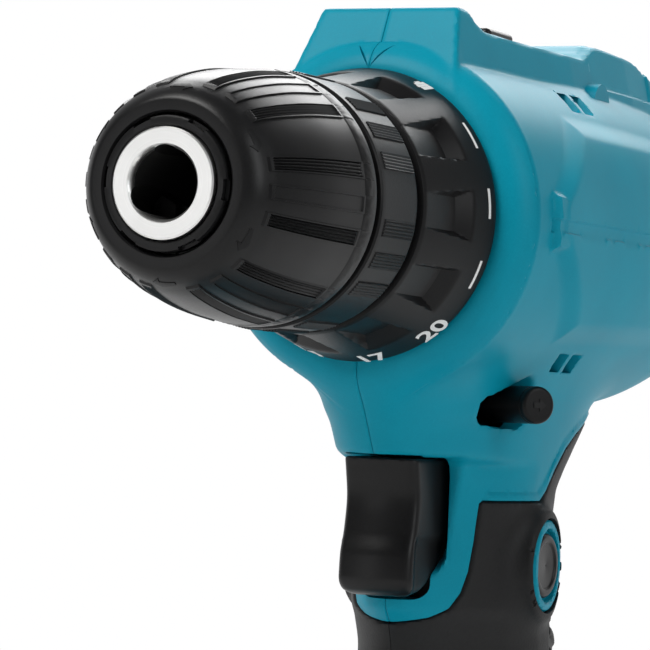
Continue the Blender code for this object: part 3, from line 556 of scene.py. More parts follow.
# ------------------------------------------------------------------ housing
HALF_SEAM = 0.05                  # each half stops this far from the middle plane
RIM = 0.3                         # and is rounded off from here
BARREL = curve_table([
    (0.6, 27.4), (1.7, 29.4), (3.4, 31.0), (5.5, 32.0), (18.0, 32.5), (36.0, 33.0), (62.0, 34.0),
    (96.0, 33.2), (110.0, 31.2), (118.0, 28.4), (123.5, 24.6), (125.5, 21.0),
])[0]
HANDLE_ROWS = [                   # (z, front y, rear y, half width)
    (-12.0, 1.2, 94.0, 20.0), (-27.0, 1.2, 94.0, 19.5), (-34.0, 4.2, 91.0, 18.8), (-42.0, 8.9, 82.0, 18.0),
    (-46.0, 11.5, 76.8, 17.7), (-50.0, 14.0, 73.0, 17.4), (-60.0, 17.0, 70.5, 17.3),
    (-71.0, 17.8, 71.0, 17.3), (-74.5, 20.0, 72.5, 17.3), (-80.0, 21.8, 75.0, 17.3),
    (-100.0, 23.0, 75.5, 17.4), (-118.0, 22.0, 77.5, 18.4), (-126.0, 17.0, 82.0, 22.0),
    (-133.0, 4.0, 92.0, 31.0), (-137.0, -2.0, 96.0, 33.0),
]
HANDLE_FRONT, HANDLE_REAR, HANDLE_HALF = curve_table(HANDLE_ROWS)
HANDLE_WIDEST = 0.56              # share of its depth, from the front, where the handle is widest
HANDLE_POWERS = (1.55, 2.4)       # squareness of its section ahead of and behind that
NECK_POWER = curve_table([(-137.0, 1.55), (-45.0, 1.55), (-43.2, 1.92), (-42.0, 2.02), (-38.0, 2.1),
                          (-34.0, 2.3), (-10.0, 2.3)])[0]
FOOT_FRONT, FOOT_REAR, FOOT_HALF = curve_table([
    (-151.0, -12.0, 102.0, 38.0), (-143.0, -11.6, 101.6, 37.8), (-136.0, -9.5, 99.6, 36.6),
    (-132.0, -5.0, 96.4, 34.2), (-129.0, 4.0, 91.0, 30.0), (-127.0, 12.0, 84.0, 25.0),
])
BLOCK_TOP = curve_table([(5.0, 38.6), (9.0, 38.7), (12.5, 38.6), (16.0, 36.6), (20.0, 35.3), (40.0, 35.0),
                         (64.0, 35.0), (69.0, 36.8), (75.0, 38.8), (96.0, 38.2), (108.0, 34.5),
                         (116.0, 28.0)])[0]
PANEL = [(32.0, 21.4), (13.4, 5.9), (12.0, 3.0), (12.2, -1.4), (11.3, -2.2), (13.1, -5.7), (15.6, -6.2),
         (33.0, -21.9), (92.0, -20.5), (100.0, -12.0), (100.0, 12.0), (92.0, 20.5)]
VENTS_ABOVE = ((41.4, 45.6), (47.2, 51.4))    # y spans of the louvres ahead of the motor
PAD = [(30.2, -51.9), (30.8, -51.4), (48.6, -51.4), (52.0, -49.4), (56.0, -45.2), (61.0, -41.2),
       (67.0, -38.4), (76.0, -35.8), (100.0, -34.0), (100.0, -119.0), (8.0, -119.0), (8.0, -75.0),
       (20.0, -74.4), (23.4, -73.4), (26.0, -71.6), (28.0, -68.6), (29.3, -64.5), (30.0, -59.0)]
OPENING = [(-60.0, -43.4), (21.5, -43.4), (23.4, -43.9), (24.5, -45.2), (24.8, -47.0), (24.8, -58.5),
           (24.4, -61.5), (23.2, -64.2), (21.0, -66.6), (17.5, -68.6), (13.5, -69.7), (9.0, -70.0),
           (-60.0, -70.0)]
SLOT_HALF, SLOT_CORNER = 6.9, 2.8    # slot behind the foot of the trigger, and the rounding of its bottom
PLUG_PLACE = (50.0, -63.5)
BOSS_RADIUS = 8.8
BOSS_FACE = 19.6
SCREWS = [span(f"housing_screw_{i}") for i in range(1, 8)]
REAR_LOUVRES = [78.0 + 4.2 * i for i in range(7)]


def handle_surface(x, y, z):
    """Egg-shaped section: drawn in towards the fingers, blunt at the palm."""
    front, rear = HANDLE_FRONT(z), HANDLE_REAR(z)
    middle = front + HANDLE_WIDEST * (rear - front)
    ahead = y < middle
    return rounded_section(x, y, HANDLE_HALF(z), middle, np.where(ahead, middle - front, rear - middle),
                           np.where(ahead, NECK_POWER(z), HANDLE_POWERS[1]))


def scoop(x, y, z):
    """Space for the trigger and the finger. It reaches further back right beside the trigger."""
    lead = 2.3 * np.clip(9.0 - x, 0.0, 2.0) * ramp(z, -66.0, -60.0)
    return polygon(y - lead, z, OPENING)


def boss(y, z):
    return np.hypot(y - PLUG_PLACE[0], z - PLUG_PLACE[1])


def boss_face(x, y):
    """Distance ahead of the boss's face, which leans a little towards the rear."""
    return x - BOSS_FACE + 0.09 * (y - PLUG_PLACE[0])


def panel_height(x, y, z):
    """How far the raised motor panel stands off the barrel."""
    edge = polygon(y, z, PANEL)
    height = 1.5 * ramp(-edge, 0.0, 4.6)
    bridge = plate(slab(y, 12.2, 26.0), slab(z, -5.6, 5.9), 0.8)
    height = np.maximum(height, 1.35 * ramp(-bridge, 0.0, 1.6))
    groove = np.maximum(slab(z, -1.7, 0.5), 12.0 - y)
    height = height - 0.45 * ramp(-groove, -0.25, 0.15)
    return height * ramp(np.abs(x), 8.0, 14.0)


def slanted(y, z, low, high, bottom, top, lean):
    """Vent slot whose ends stay level while its sides lean."""
    shifted = y - lean * (z - (bottom + top) / 2)
    return plate(slab(shifted, low, high), slab(z, bottom, top), 0.45)


def vents(x, y, z):
    """Every vent slot, as a field that is negative inside a slot."""
    result = np.full(np.broadcast_shapes(np.shape(y), np.shape(z)), 50.0)
    for low, high in VENTS_ABOVE:
        result = np.minimum(result, slanted(y, z, low, high, 22.6, 26.3, 0.3))
        result = np.minimum(result, slanted(y, z, low, high, -26.6, -23.1, -0.35))
    for middle in REAR_LOUVRES:
        result = np.minimum(result, slanted(y, z, middle - 0.95, middle + 0.95, -8.5, 8.5, 0.12))
    return np.maximum(result, 14.0 - np.abs(x))


def lever_opening(y, z):
    """Tear-shaped hole: wide where the lever comes out, narrow at its front."""
    t = np.clip((y - 24.6) / 10.4, 0.0, 1.0)
    return np.hypot(y - (24.6 + 10.4 * t), z - (-34.4 + 1.7 * t)) - (2.7 + 2.3 * t)


def housing_field(x, y, z):
    """Outside of the whole housing, both halves in one."""
    x = np.abs(x)
    radial = np.sqrt(x * x + z * z)
    barrel = (radial - BARREL(y) - panel_height(x, y, z)) * 0.97
    barrel = soft_max(barrel, y - 125.5, 1.6)
    seam_step = np.abs(y - 5.75) - 0.3
    barrel = barrel + 0.22 * ramp(-seam_step, -0.25, 0.2)
    width = 16.9 - (z - 24.0) * 0.235 + 0.05 * np.clip(y - 7.0, 0, 50) - 0.05 * np.clip(y - 90.0, 0, 30)
    hollow = plate(slab(y, 68.0, 104.0), slab(z, 30.0, 60.0), 1.0)
    block = soft_max((BLOCK_TOP(y) - z) * -0.96, (x - width) * 0.97, 0.9)
    block = soft_max(block, ((y - 5.6) * -6.6 + (z - 32.0) * 3.4) / 7.42, 0.9)
    block = np.maximum(np.maximum(block, y - 115.0), 18.0 - z)
    block = block + 0.35 * ramp(-hollow, -0.2, 0.3) * ramp(x, width - 2.6, width - 1.9)
    body = soft_min(barrel, block, 0.5)
    handle = handle_surface(x, y, z)
    grip = np.maximum(np.maximum(handle, z + 10.0), -137.0 - z)
    body = soft_min(body, grip, 5.0)
    front, rear = FOOT_FRONT(z), FOOT_REAR(z)
    foot = rounded_section(x, y, FOOT_HALF(z), (front + rear) / 2, (rear - front) / 2, 5.0)
    foot = np.maximum(foot, z + 127.0)
    band = np.abs(z + 144.5) - 0.35
    foot = foot + 0.35 * ramp(-band, -0.25, 0.25)
    body = soft_min(body, foot, 5.0)
    body = soft_max(body, -150.0 - z, 0.9)
    clip = brick(slab(x, 30.0, 39.5), slab(y, 62.0, 82.0), slab(z, -147.0, -138.0), 1.2)
    body = soft_min(body, clip, 0.8)
    ring = boss(y, z)
    collar = soft_max(ring - BOSS_RADIUS, boss_face(x, y), 1.2)
    collar = np.maximum(collar, 5.0 - x)
    body = soft_min(body, collar, 0.6)
    body = soft_max(body, 0.6 - y, 0.5)
    body = soft_max(body, -scoop(x, y, z), 0.9)
    opening = brick(slab(x, -7.6, 7.6), slab(y, -60.0, 42.0), slab(z, -60.5, -43.1), 0.6)
    body = np.maximum(body, -opening)
    ledge = np.maximum(polygon(y, z, PAD) - 1.5, np.maximum(-54.0 - z, 31.5 - y))
    body = body - 0.35 * ramp(-ledge, -0.3, 0.3)
    body = soft_max(body, -np.maximum(ring - 7.1, 17.9 - x), 0.5)
    body = soft_max(body, -np.maximum(lever_opening(y, z), 6.0 - x), 0.7)
    body = soft_max(body, -vents(x, y, z), 0.3)
    pocket = brick(slab(x, -8.6, 8.6), slab(y, 36.6, 59.4), slab(z, 33.2, 60.0), 0.8)
    body = soft_max(body, -pocket, 0.5)
    return body


def cut_half(points, quads, field, side):
    """Half of a mirrored shape: cut near the middle plane, its rim turned in, closed flat."""
    bm = bmesh.new()
    verts = [bm.verts.new(point) for point in points.tolist()]
    for quad in quads.tolist():
        bm.faces.new([verts[i] for i in quad])
    geometry = bm.verts[:] + bm.edges[:] + bm.faces[:]
    bmesh.ops.bisect_plane(bm, geom=geometry, dist=1e-5, plane_co=(RIM, 0, 0), plane_no=(-1, 0, 0),
                           clear_outer=True)
    rim = [edge for edge in bm.edges if edge.is_boundary]
    grown = bmesh.ops.extrude_edge_only(bm, edges=rim)
    fresh = [item for item in grown["geom"] if isinstance(item, bmesh.types.BMVert)]
    spots = np.array([vert.co[:] for vert in fresh], float)
    normal = slope(field, spots)
    normal[:, 0] = 0
    normal /= np.maximum(np.linalg.norm(normal, axis=1, keepdims=True), 1e-6)
    spots -= normal * 0.12
    spots[:, 0] = HALF_SEAM
    for vert, spot in zip(fresh, spots.tolist()):
        vert.co = spot
    bmesh.ops.edgeloop_fill(bm, edges=[edge for edge in bm.edges if edge.is_boundary])
    if side < 0:
        bmesh.ops.transform(bm, matrix=Matrix.Diagonal((-1, 1, 1, 1)), verts=bm.verts)
        bmesh.ops.reverse_faces(bm, faces=bm.faces)
    return bm


def loft(rings):
    bm = bmesh.new()
    rows = [[bm.verts.new(point) for point in points] for points in rings]
    count = len(rows[0])
    for low, high in zip(rows, rows[1:]):
        for i in range(count):
            j = (i + 1) % count
            bm.faces.new((low[i], low[j], high[j], high[i]))
    bm.faces.new(rows[0])
    bm.faces.new(rows[-1])
    return bm


def section_ring(z, front, rear, half, steps=28):
    """Level ring of the handle's egg shape."""
    middle = front + HANDLE_WIDEST * (rear - front)
    result = []
    for i in range(steps):
        angle = math.tau * (i + 0.5) / steps
        c, s = math.cos(angle), math.sin(angle)
        depth, power = (rear - middle, HANDLE_POWERS[1]) if s > 0 else (middle - front, HANDLE_POWERS[0])
        x = math.copysign(half * abs(c) ** (2 / power), c)
        result.append((x, middle + math.copysign(depth * abs(s) ** (2 / power), s), z))
    return result


def hollows():
    """Tools for the space inside the housing."""
    wall = 2.8
    bore = [(0.001, -2.0), (22.0, -2.0), (22.0, 5.2), (28.2, 6.2), (29.4, 46.6), (24.5, 47.0), (19.0, 47.2),
            (19.0, 49.6), (29.4, 50.0), (29.4, 97.0), (18.7, 97.4), (18.7, 100.0), (25.0, 101.0),
            (25.0, 114.0), (18.0, 121.0), (0.001, 121.0)]
    tools = [lathe("tool", bore, even(64), black())]
    inner = [section_ring(-22.0, 10.0, 70.0, 14.0)]
    for z, front, rear, half in HANDLE_ROWS:
        if -118.0 <= z <= -34.0:
            first = max(front + wall, 31.0) if -72.0 < z < -42.0 else front + wall
            inner.append(section_ring(z, first, rear - wall, half - wall))
    inner.append(section_ring(-131.5, 30.0, 74.0, 13.0))
    tools.append(tool(loft(inner)))
    for x, y, z in (((-15.0, 15.0), (34.0, 82.3), (-136.9, -130.5)),
                    ((-23.0, 23.0), (-20.0, 66.0), (-160.0, -145.4)),
                    ((-27.0, 27.0), (-20.0, 66.0), (-145.6, -139.0)),
                    ((-22.3, 22.3), (65.8, 82.3), (-160.0, -136.6)),
                    ((-7.7, 7.7), (10.0, 42.0), (-60.5, -43.1)), ((-4.6, 4.6), (34.0, 57.0), (22.0, 40.0))):
        tools.append(box_tool(x, y, z))
    turns = [math.radians(step * 15) for step in range(7)]
    corner = [(SLOT_HALF - SLOT_CORNER * (1 - math.cos(turn)), -69.9 + SLOT_CORNER * (1 - math.sin(turn)))
              for turn in turns]
    outline = [(SLOT_HALF, -60.0)] + corner
    outline = outline + [(-x, z) for x, z in reversed(outline)]
    tools.append(tool(loft([[(x, y, z) for x, z in outline] for y in (10.0, 42.0)])))
    return tools


def grown(outline, distance):
    """Push every edge of a clockwise outline outwards."""
    corners = [Vector(point) for point in outline]
    result = []
    for before, here, after in zip(corners[-1:] + corners, corners, corners[1:] + corners[:1]):
        normals = [(end - start).normalized().orthogonal() for start, end in ((before, here), (here, after))]
        result.append(here + (normals[0] + normals[1]) * distance / (1 + normals[0].dot(normals[1])))
    return result


def pad_recess():
    """Tool for the recess, 1.9 mm deep, that the rubber fills."""
    rings = [[(x, *point) for point in grown(PAD, 0.25)] for x in (-42.0, 42.0)]
    recess = tool(loft(rings))
    core = []
    for z in np.linspace(-122.0, -31.0, 92).tolist():
        front, rear, half = (float(curve(z)) for curve in (HANDLE_FRONT, HANDLE_REAR, HANDLE_HALF))
        core.append(section_ring(z, front + 1.9, rear - 1.9, half - 1.9, 96))
    y, z = PLUG_PLACE
    return carve(recess, "DIFFERENCE", tool(loft(core)),
                 rod_tool((-42.0, y, z), (42.0, y, z), BOSS_RADIUS, 96))


def notch_tools():
    """The V mark over the torque ring, cut into the collar."""
    tools = []
    for side in (-1, 1):
        top = Vector((side * 3.6, 3.7, 31.6))
        foot = Vector((0.0, 0.1, 27.0))
        along = (top - foot).normalized()
        out = Vector((0, -0.72, 0.69))
        across = along.cross(out).normalized()
        bm = bmesh.new()
        corners = []
        for end in (foot - along * 0.4, top):
            for a, b in ((-0.42, 0.9), (0.42, 0.9), (0.0, -0.55)):
                corners.append(bm.verts.new(end + across * a + out * b))
        bm.faces.new(corners[:3])
        bm.faces.new(corners[3:])
        for i in range(3):
            j = (i + 1) % 3
            bm.faces.new((corners[i], corners[j], corners[3 + j], corners[3 + i]))
        tools.append(tool(bm))
    return tools


def build_housing():
    points, quads = contour(housing_field, (-0.9, -1.0, -152.0), (41.2, 127.4, 41.0), 0.72 * COARSE)
    for side, name in ((1, "housing_left"), (-1, "housing_right")):
        shell = from_bmesh(f"look_{name}", cut_half(points, quads, housing_field, side), teal())
        bmesh_posts = bmesh.new()
        for low, high in SCREWS:
            y, z = (low[1] + high[1]) / 2, (low[2] + high[2]) / 2
            rod(bmesh_posts, (side * HALF_SEAM, y, z), (side * (abs(low[0]) + 1.5), y, z), 4.2, 20)
        carve(shell, "DIFFERENCE", pad_recess(), *hollows())
        carve(shell, "UNION", tool(bmesh_posts))
        holes = []
        for low, high in SCREWS:
            y, z = (low[1] + high[1]) / 2, (low[2] + high[2]) / 2
            if side < 0:
                holes.append(rod_tool((low[0] + 1.9 + 0.3, y, z), (1.0, y, z), 1.8, 16))
                holes.append(rod_tool((-60.0, y, z), (low[0] + 2.2, y, z), 3.3, 32))
            else:
                holes.append(rod_tool((-1.0, y, z), (9.6, y, z), 1.8, 16))
        carve(shell, "DIFFERENCE", *holes, *notch_tools())
        smooth_again(shell, teal(), 32.0)
        settle(shell, "housing", "teal_plastic", name)


# ------------------------------------------------------------------ rubber grip
def grip_field(x, y, z):
    """Rubber pads: a skin over the grip, with a field of fine ribs where the palm and the fingers lie."""
    handle = handle_surface(x, y, z)
    edge = polygon(y, z, PAD)
    fingers = plate(slab(y, -10.0, 44.0), slab(z, -112.0, -82.0), 6.0)
    palm = plate(slab(y, 58.0, 120.0), slab(z, -108.0, -56.0), 6.0)
    zone = np.minimum(fingers, palm)
    wave = 0.5 + 0.5 * np.cos((z + 0.32 * np.abs(y - 50.0)) * (math.tau / 4.2))
    depth = 0.5 * ramp(-zone, 0.0, 1.2) * ramp(wave, 0.15, 0.62)
    lip = 0.32 * ramp(-np.abs(zone) + 0.5, -0.1, 0.4)
    swell = soft_max(boss(y, z) - BOSS_RADIUS - 0.8, boss_face(np.abs(x), y) + 0.5, 1.5)
    skin = soft_max(soft_min(handle - 0.42, swell, 5.0) + depth + lip, edge, 0.8)
    skin = np.maximum(skin, -(handle + 1.6))
    return np.maximum(skin, BOSS_RADIUS + 0.3 - boss(y, z))


def build_grips():
    points, quads = contour(grip_field, (-0.9, 6.0, -121.0), (26.5, 96.5, -32.0), 0.62 * COARSE)
    for side, name in ((1, "grip_left"), (-1, "grip_right")):
        bm = bmesh.new()
        verts = [bm.verts.new(point) for point in points.tolist()]
        for quad in quads.tolist():
            bm.faces.new([verts[i] for i in quad])
        geometry = bm.verts[:] + bm.edges[:] + bm.faces[:]
        bmesh.ops.bisect_plane(bm, geom=geometry, dist=1e-5, plane_co=(HALF_SEAM, 0, 0), plane_no=(-1, 0, 0),
                               clear_outer=True)
        bmesh.ops.holes_fill(bm, edges=[edge for edge in bm.edges if edge.is_boundary], sides=0)
        if side < 0:
            bmesh.ops.transform(bm, matrix=Matrix.Diagonal((-1, 1, 1, 1)), verts=bm.verts)
            bmesh.ops.reverse_faces(bm, faces=bm.faces)
        pad = from_bmesh(f"look_{name}", bm, rubber())
        low, high = SCREWS[4]
        y, z = (low[1] + high[1]) / 2, (low[2] + high[2]) / 2
        if side < 0:
            carve(pad, "DIFFERENCE", rod_tool((-40.0, y, z), (0.0, y, z), 3.3, 32))
            smooth_again(pad, rubber(), 34.0)
        settle(pad, "housing", "rubber", name)
        plug_low, plug_high = span(f"grip_plug_{'left' if side > 0 else 'right'}")
        reach = max(abs(plug_low[0]), abs(plug_high[0]))
        outline = [(0.02, 18.3), (6.2, 18.3), (6.2, reach - 0.5), (5.6, reach), (4.6, reach),
                   (4.3, reach - 0.35),
                   (0.02, reach - 0.35)]
        made = lathe(f"look_grip_plug_{name[5:]}", rounded(outline, 0.25), even(64), black_satin())
        lay_on_side(made, side)
        settle(made, "housing", "black_plastic", f"grip_plug_{name[5:]}")


def lay_on_side(piece, side):
    """Turn a piece that was turned about the spindle axis, so that it stands on the plug's axis."""
    centre = at(0, *PLUG_PLACE)
    flip = Matrix.Rotation(-side * math.pi / 2, 4, "Z")
    piece.data.transform(Matrix.Translation(centre) @ flip @ Matrix.Translation(-at(0, 0, 0)))


def build_screw_heads():
    for number, (low, high) in enumerate(SCREWS, start=1):
        y, z = (low[1] + high[1]) / 2, (low[2] + high[2]) / 2
        seat, top = low[0] + 1.9, low[0]
        rings = []
        for x, radius in ((high[0], 1.1), (high[0] - 0.5, 1.5), (seat, 1.5), (seat, 3.0), (top + 0.5, 3.0),
                          (top + 0.12, 2.75), (top, 2.3)):
            rings.append([(x, y + radius * math.cos(a), z + radius * math.sin(a)) for a in even(40)])
        head = from_bmesh(f"look_housing_screw_{number}", loft(rings), LOOKS["steel"]())
        star = bmesh.new()
        points = []
        for i in range(36):
            a = math.tau * i / 36
            radius = 1.45 + 0.28 * math.cos(6 * a)
            points.append((radius * math.cos(a), radius * math.sin(a)))
        rows = [[star.verts.new((x, y + p, z + q)) for p, q in points] for x in (top - 1.0, top + 1.2)]
        for i in range(36):
            j = (i + 1) % 36
            star.faces.new((rows[0][i], rows[0][j], rows[1][j], rows[1][i]))
        star.faces.new(rows[0])
        star.faces.new(rows[1])
        carve(head, "DIFFERENCE", tool(star))
        smooth_again(head, LOOKS["steel"]())
        settle(head, "housing", "steel", f"housing_screw_{number}")


# ------------------------------------------------------------------ chuck
PANEL_PITCH = 15.2
PANEL_TURN = 32.8                 # the first group's middle panel, in degrees from the top
ARROW_LINE = -74.1                # y of the arrows on the sleeve's shoulder
RING_GROUP_TURN = 56.5            # the rear ring's first middle panel, in degrees from the top
RING_PANEL_PITCH = 15.0
COLLAR_NOTCHES = (-25.0, 30.0, 95.0, 155.0, 215.0, 275.0)


def panel_angles():
    """(middle angle, is ribbed) of the 18 grip panels on the front sleeve."""
    return [(PANEL_TURN + 60.0 * group + PANEL_PITCH * step, step != 0) for group in range(6)
            for step in (-1, 0, 1)]


def wrap(angle):
    return (angle + 180.0) % 360.0 - 180.0


def sleeve_change(radius, y, theta):
    """Raised panels, two in three of them finely grooved, and a rounded rear band with a rough skin."""
    degrees = np.degrees(theta)
    outside = radius > 15.0
    rise = np.zeros_like(radius)
    along = ramp(y, -72.75, -72.45) * (1 - ramp(y, -46.7, -46.35))
    border = ramp(y, -71.9, -71.6) * (1 - ramp(y, -47.5, -47.2))
    for middle, ribbed in panel_angles():
        away = np.abs(wrap(degrees - middle))
        plateau = (away <= 4.0).astype(float)
        rise += 0.3 * plateau * along
        if ribbed:
            inside = (away <= 3.21) * border
            wave = np.abs((away / 1.6) % 1.0 - 0.5) * 2
            rise -= 0.34 * inside * wave
        else:
            rise -= 0.24 * (away <= 3.21) * border
    rough = ramp(y, -45.8, -45.5) * (1 - ramp(y, -43.3, -43.0))
    seed = np.sin(degrees * 12.9898 + y * 78.233) * 43758.5453
    rise += rough * 0.16 * (seed - np.floor(seed) - 0.5)
    return radius + np.where(outside, rise, 0.0)


def build_front_sleeve():
    low, high = span("chuck_front_sleeve")
    front, rear = low[1], high[1]
    outer = curve_table([(front + 0.9, 14.95), (front + 1.9, 15.75), (front + 3.9, 16.7), (front + 6.4, 17.7),
                         (front + 12.4, 19.25), (front + 20.4, 20.65), (front + 28.4, 21.45),
                         (front + 30.2, 21.62)])[0]
    stops = [front + 0.9, front + 1.9, front + 2.9, front + 3.6]
    stops += [-72.75, -72.6, -72.45, -71.9, -71.75, -71.6, -70.5, -69.0, -67.0, -65.0, -63.0, -61.0, -59.0,
              -57.0, -55.0]
    stops += [-53.0, -51.0, -49.0, -47.5, -47.35, -47.2, -46.7, -46.55, -46.35]
    profile = [(11.6, front + 0.35), (11.95, front), (13.5, front), (13.85, front + 0.06),
               (14.25, front + 0.28)]
    profile += [(float(outer(y)), y) for y in sorted(stops)]
    profile += [(21.68, -46.15), (21.5, -45.9), (21.55, -45.75), (21.66, -45.2), (21.78, -44.6),
                (21.84, -44.0), (21.86, -43.4), (21.86, -42.9), (21.8, rear - 0.35), (21.5, rear - 0.05),
                (21.2, rear), (20.0, rear), (20.0, -57.0), (17.3, -57.0), (15.4, -69.5), (11.6, -72.0)]
    breaks = []
    for middle, ribbed in panel_angles():
        breaks += [middle - 4.12, middle - 4.0, middle + 4.0, middle + 4.12, middle - 3.33, middle - 3.2,
                   middle + 3.2, middle + 3.33]
        if ribbed:
            breaks += [middle + 0.8 * i for i in range(-3, 4)]
    made = lathe("look_front_sleeve", profile, angles_with(breaks, 1.6), black_satin(), sleeve_change,
                 angle=30.0)
    settle(made, "chuck_sleeve", "black_plastic", "chuck_front_sleeve")
    for group in range(6):
        arrow(f"sleeve_arrow_{group + 1}", PANEL_TURN + 30.0 + 60.0 * group, outer)


def arrow(name, middle, outer):
    """Raised arrow that curves round the sleeve's shoulder towards its locking turn."""
    body = [(-7.0, -0.32), (3.0, -0.32), (3.0, -1.05), (7.6, 0.0), (3.0, 1.05), (3.0, 0.32), (-7.0, 0.32)]
    outline = [(middle + u, ARROW_LINE + v) for u, v in body]
    wrapped_plate(name, outline, outer, 0.16, black(), "chuck_sleeve", "black_plastic")


def wrapped_plate(name, outline, outer, height, material, body, slot, sink=0.12):
    """Thin plate with an outline in (degrees, y), bent round a turned surface."""
    bm = bmesh.new()
    flat = bm.faces.new([bm.verts.new((a, y, 0)) for a, y in outline])
    bmesh.ops.triangulate(bm, faces=[flat])
    bmesh.ops.subdivide_edges(bm, edges=bm.edges[:], cuts=2, use_grid_fill=True)
    geometry = bmesh.ops.extrude_face_region(bm, geom=bm.faces[:])
    lifted = {item for item in geometry["geom"] if isinstance(item, bmesh.types.BMVert)}
    for vert in bm.verts:
        degrees, y = vert.co.x, vert.co.y
        radius = float(outer(y)) + (height if vert in lifted else -sink)
        angle = math.radians(degrees)
        vert.co = (radius * math.sin(angle), y, radius * math.cos(angle))
    made = from_bmesh(name, bm, material)
    settle(made, body, slot)
    return made


def build_rear_ring():
    low, high = span("chuck_rear_ring")
    front, rear = low[1], high[1]
    outer = max(high[2], high[0])
    middles = [RING_GROUP_TURN + 60.0 * group + RING_PANEL_PITCH * step for group in range(6)
               for step in (-1, 0, 1)]

    def change(radius, y, theta):
        degrees = np.degrees(theta)
        rise = np.zeros_like(radius)
        along = ramp(y, front + 1.9, front + 2.1) * (1 - ramp(y, rear - 1.3, rear - 1.1))
        for middle in middles:
            away = np.abs(wrap(degrees - middle))
            wave = 1 - np.abs((away / 1.5) % 1.0 - 0.5) * 2
            rise += 0.3 * (away <= 3.8) * along * (0.25 + 0.75 * wave)
        return radius + np.where(radius > outer - 1.0, rise, 0.0)

    profile = [(19.9, front), (21.2, front), (21.75, front + 0.12), (22.05, front + 0.5),
               (outer - 0.1, front + 1.0)]
    profile += [(outer - 0.1, y)
                for y in (front + 1.9, front + 2.0, front + 2.1, front + 5.0, front + 8.0, front + 11.0,
                                           rear - 1.3, rear - 1.2, rear - 1.1)]
    profile += [(22.0, rear - 0.5), (21.75, rear - 0.15), (21.3, rear), (19.9, rear)]
    breaks = []
    for middle in middles:
        breaks += [middle + 0.75 * i for i in range(-5, 6)] + [middle - 3.9, middle + 3.9]
    made = lathe("look_rear_ring", profile, angles_with(breaks, 2.0), black(), change, angle=28.0)
    settle(made, "spindle_unit", "black_plastic", "chuck_rear_ring")


def build_nose():
    """Steel chuck body, its mouth, and the notched collar round the nose."""
    low, high = span("chuck_body")
    front, rear = low[1], high[1]
    nose = 9.15
    profile = [(6.45, front), (nose - 0.25, front), (nose, front + 0.25), (nose, -74.0), (11.2, -73.0),
               (11.2, -70.0), (15.6, -62.0), (15.6, -49.3), (19.6, -49.3), (19.6, rear), (6.65, rear),
               (6.65, -38.5), (4.0, -38.5), (4.0, -44.0), (5.82, -44.0), (5.82, front + 1.5),
               (6.0, front + 0.55)]
    body = lathe("look_chuck_body", profile, even(144), bright_steel())
    slots = []
    for number in range(3):
        slots.append(rod_tool(jaw_line(number, -86.0), jaw_line(number, -27.0), 2.9, 40))
    carve(body, "DIFFERENCE", *slots)
    # Painted shade: the bore, the jaw slots and every face behind the nose's tip get a dark, non-metallic
    # finish in place of steel. It stands in for the shadow inside the chuck and in the gaps between its
    # rings.
    inside = finish("shadowed_bore", (0.006, 0.006, 0.006), (0.012, 0.012, 0.012), 0.6, 0.0, 2600,
                    relief=0.02)
    smooth_again(body, bright_steel(), 30.0)
    body.data.materials.append(inside)
    base = np.array(DATUM)
    for face in body.data.polygons:
        centre = (np.array(face.center) - base) / MM
        radius = math.hypot(centre[0], centre[2])
        in_bore = radius < 6.0 and centre[1] > front + 1.3
        in_slot = radius < 8.6 and centre[1] > front + 1.6
        # painted shade: faces in the bore, in the slots or behind y = -73.5 take the dark shadow finish
        if in_bore or in_slot or centre[1] > -73.5:
            face.material_index = 1
    settle(body, "spindle_unit", "chuck_steel", "chuck_body")
    collar_low, collar_high = span("chuck_nose_collar")

    def notched(radius, y, theta):
        degrees = np.degrees(theta)
        cut = np.zeros_like(radius)
        for middle in COLLAR_NOTCHES:
            away = np.abs(wrap(degrees - middle))
            cut = np.maximum(cut, (away < 9.0) * 0.55 * (y < collar_low[1] + 1.4))
        return radius - np.where(radius > 10.9, cut, 0.0)

    inner, outer = 9.4, 11.1
    profile = [(inner, collar_low[1] + 0.3), (inner + 0.3, collar_low[1]), (outer - 0.5, collar_low[1]),
               (outer - 0.12, collar_low[1] + 0.14), (outer, collar_low[1] + 0.5),
               (outer, collar_low[1] + 1.35),
               (outer, collar_low[1] + 1.45), (outer, collar_high[1]), (inner, collar_high[1])]
    breaks = []
    for middle in COLLAR_NOTCHES:
        breaks += [middle - 9.05, middle - 8.95, middle + 8.95, middle + 9.05]
    collar = lathe("look_nose_collar", profile, angles_with(breaks, 3.0), black_satin(), notched, angle=30.0)
    settle(collar, "spindle_unit", "black_plastic", "chuck_nose_collar")


JAW_SLANT = math.radians(15.5)


def jaw_line(number, y):
    """Where the slanted axis of a jaw passes the plane y."""
    angle = math.radians(90.0 + 120.0 * number)
    radius = 3.2 + (y + 77.9) * math.tan(JAW_SLANT)
    return radius * math.cos(angle), y, radius * math.sin(angle)


def build_jaws():
    for number in range(3):
        tip = span(f"jaw_{number + 1}")[0][1]
        bm = rod(bmesh.new(), jaw_line(number, tip - 4.0),
                 jaw_line(number, -64.0 + 33.0 * math.cos(JAW_SLANT)), 2.6, 56)
        angle = math.radians(90.0 + 120.0 * number)
        outward = Vector((math.cos(angle), 0, math.sin(angle)))
        tangent = Vector((-math.sin(angle), 0, math.cos(angle)))
        edge = outward * 5.2 + Vector((0, tip, 0))
        normals = [Vector((0, -1, 0))]
        for side in (-1, 1):
            normals.append(side * tangent * math.cos(math.radians(60)) - outward * math.sin(math.radians(60)))
        for normal in normals:
            geometry = bm.verts[:] + bm.edges[:] + bm.faces[:]
            bmesh.ops.bisect_plane(bm, geom=geometry, plane_co=edge, plane_no=normal, clear_outer=True)
            bmesh.ops.edgeloop_fill(bm, edges=[item for item in bm.edges if item.is_boundary])
        sharp = [item for item in bm.edges if item.calc_face_angle(0) > math.radians(40)]
        bmesh.ops.bevel(bm, geom=sharp, offset=0.12, segments=1, affect="EDGES")
        jaw = from_bmesh(f"look_jaw_{number + 1}", bm, dark_steel())
        settle(jaw, f"jaw_{number + 1}", "steel", f"jaw_{number + 1}")


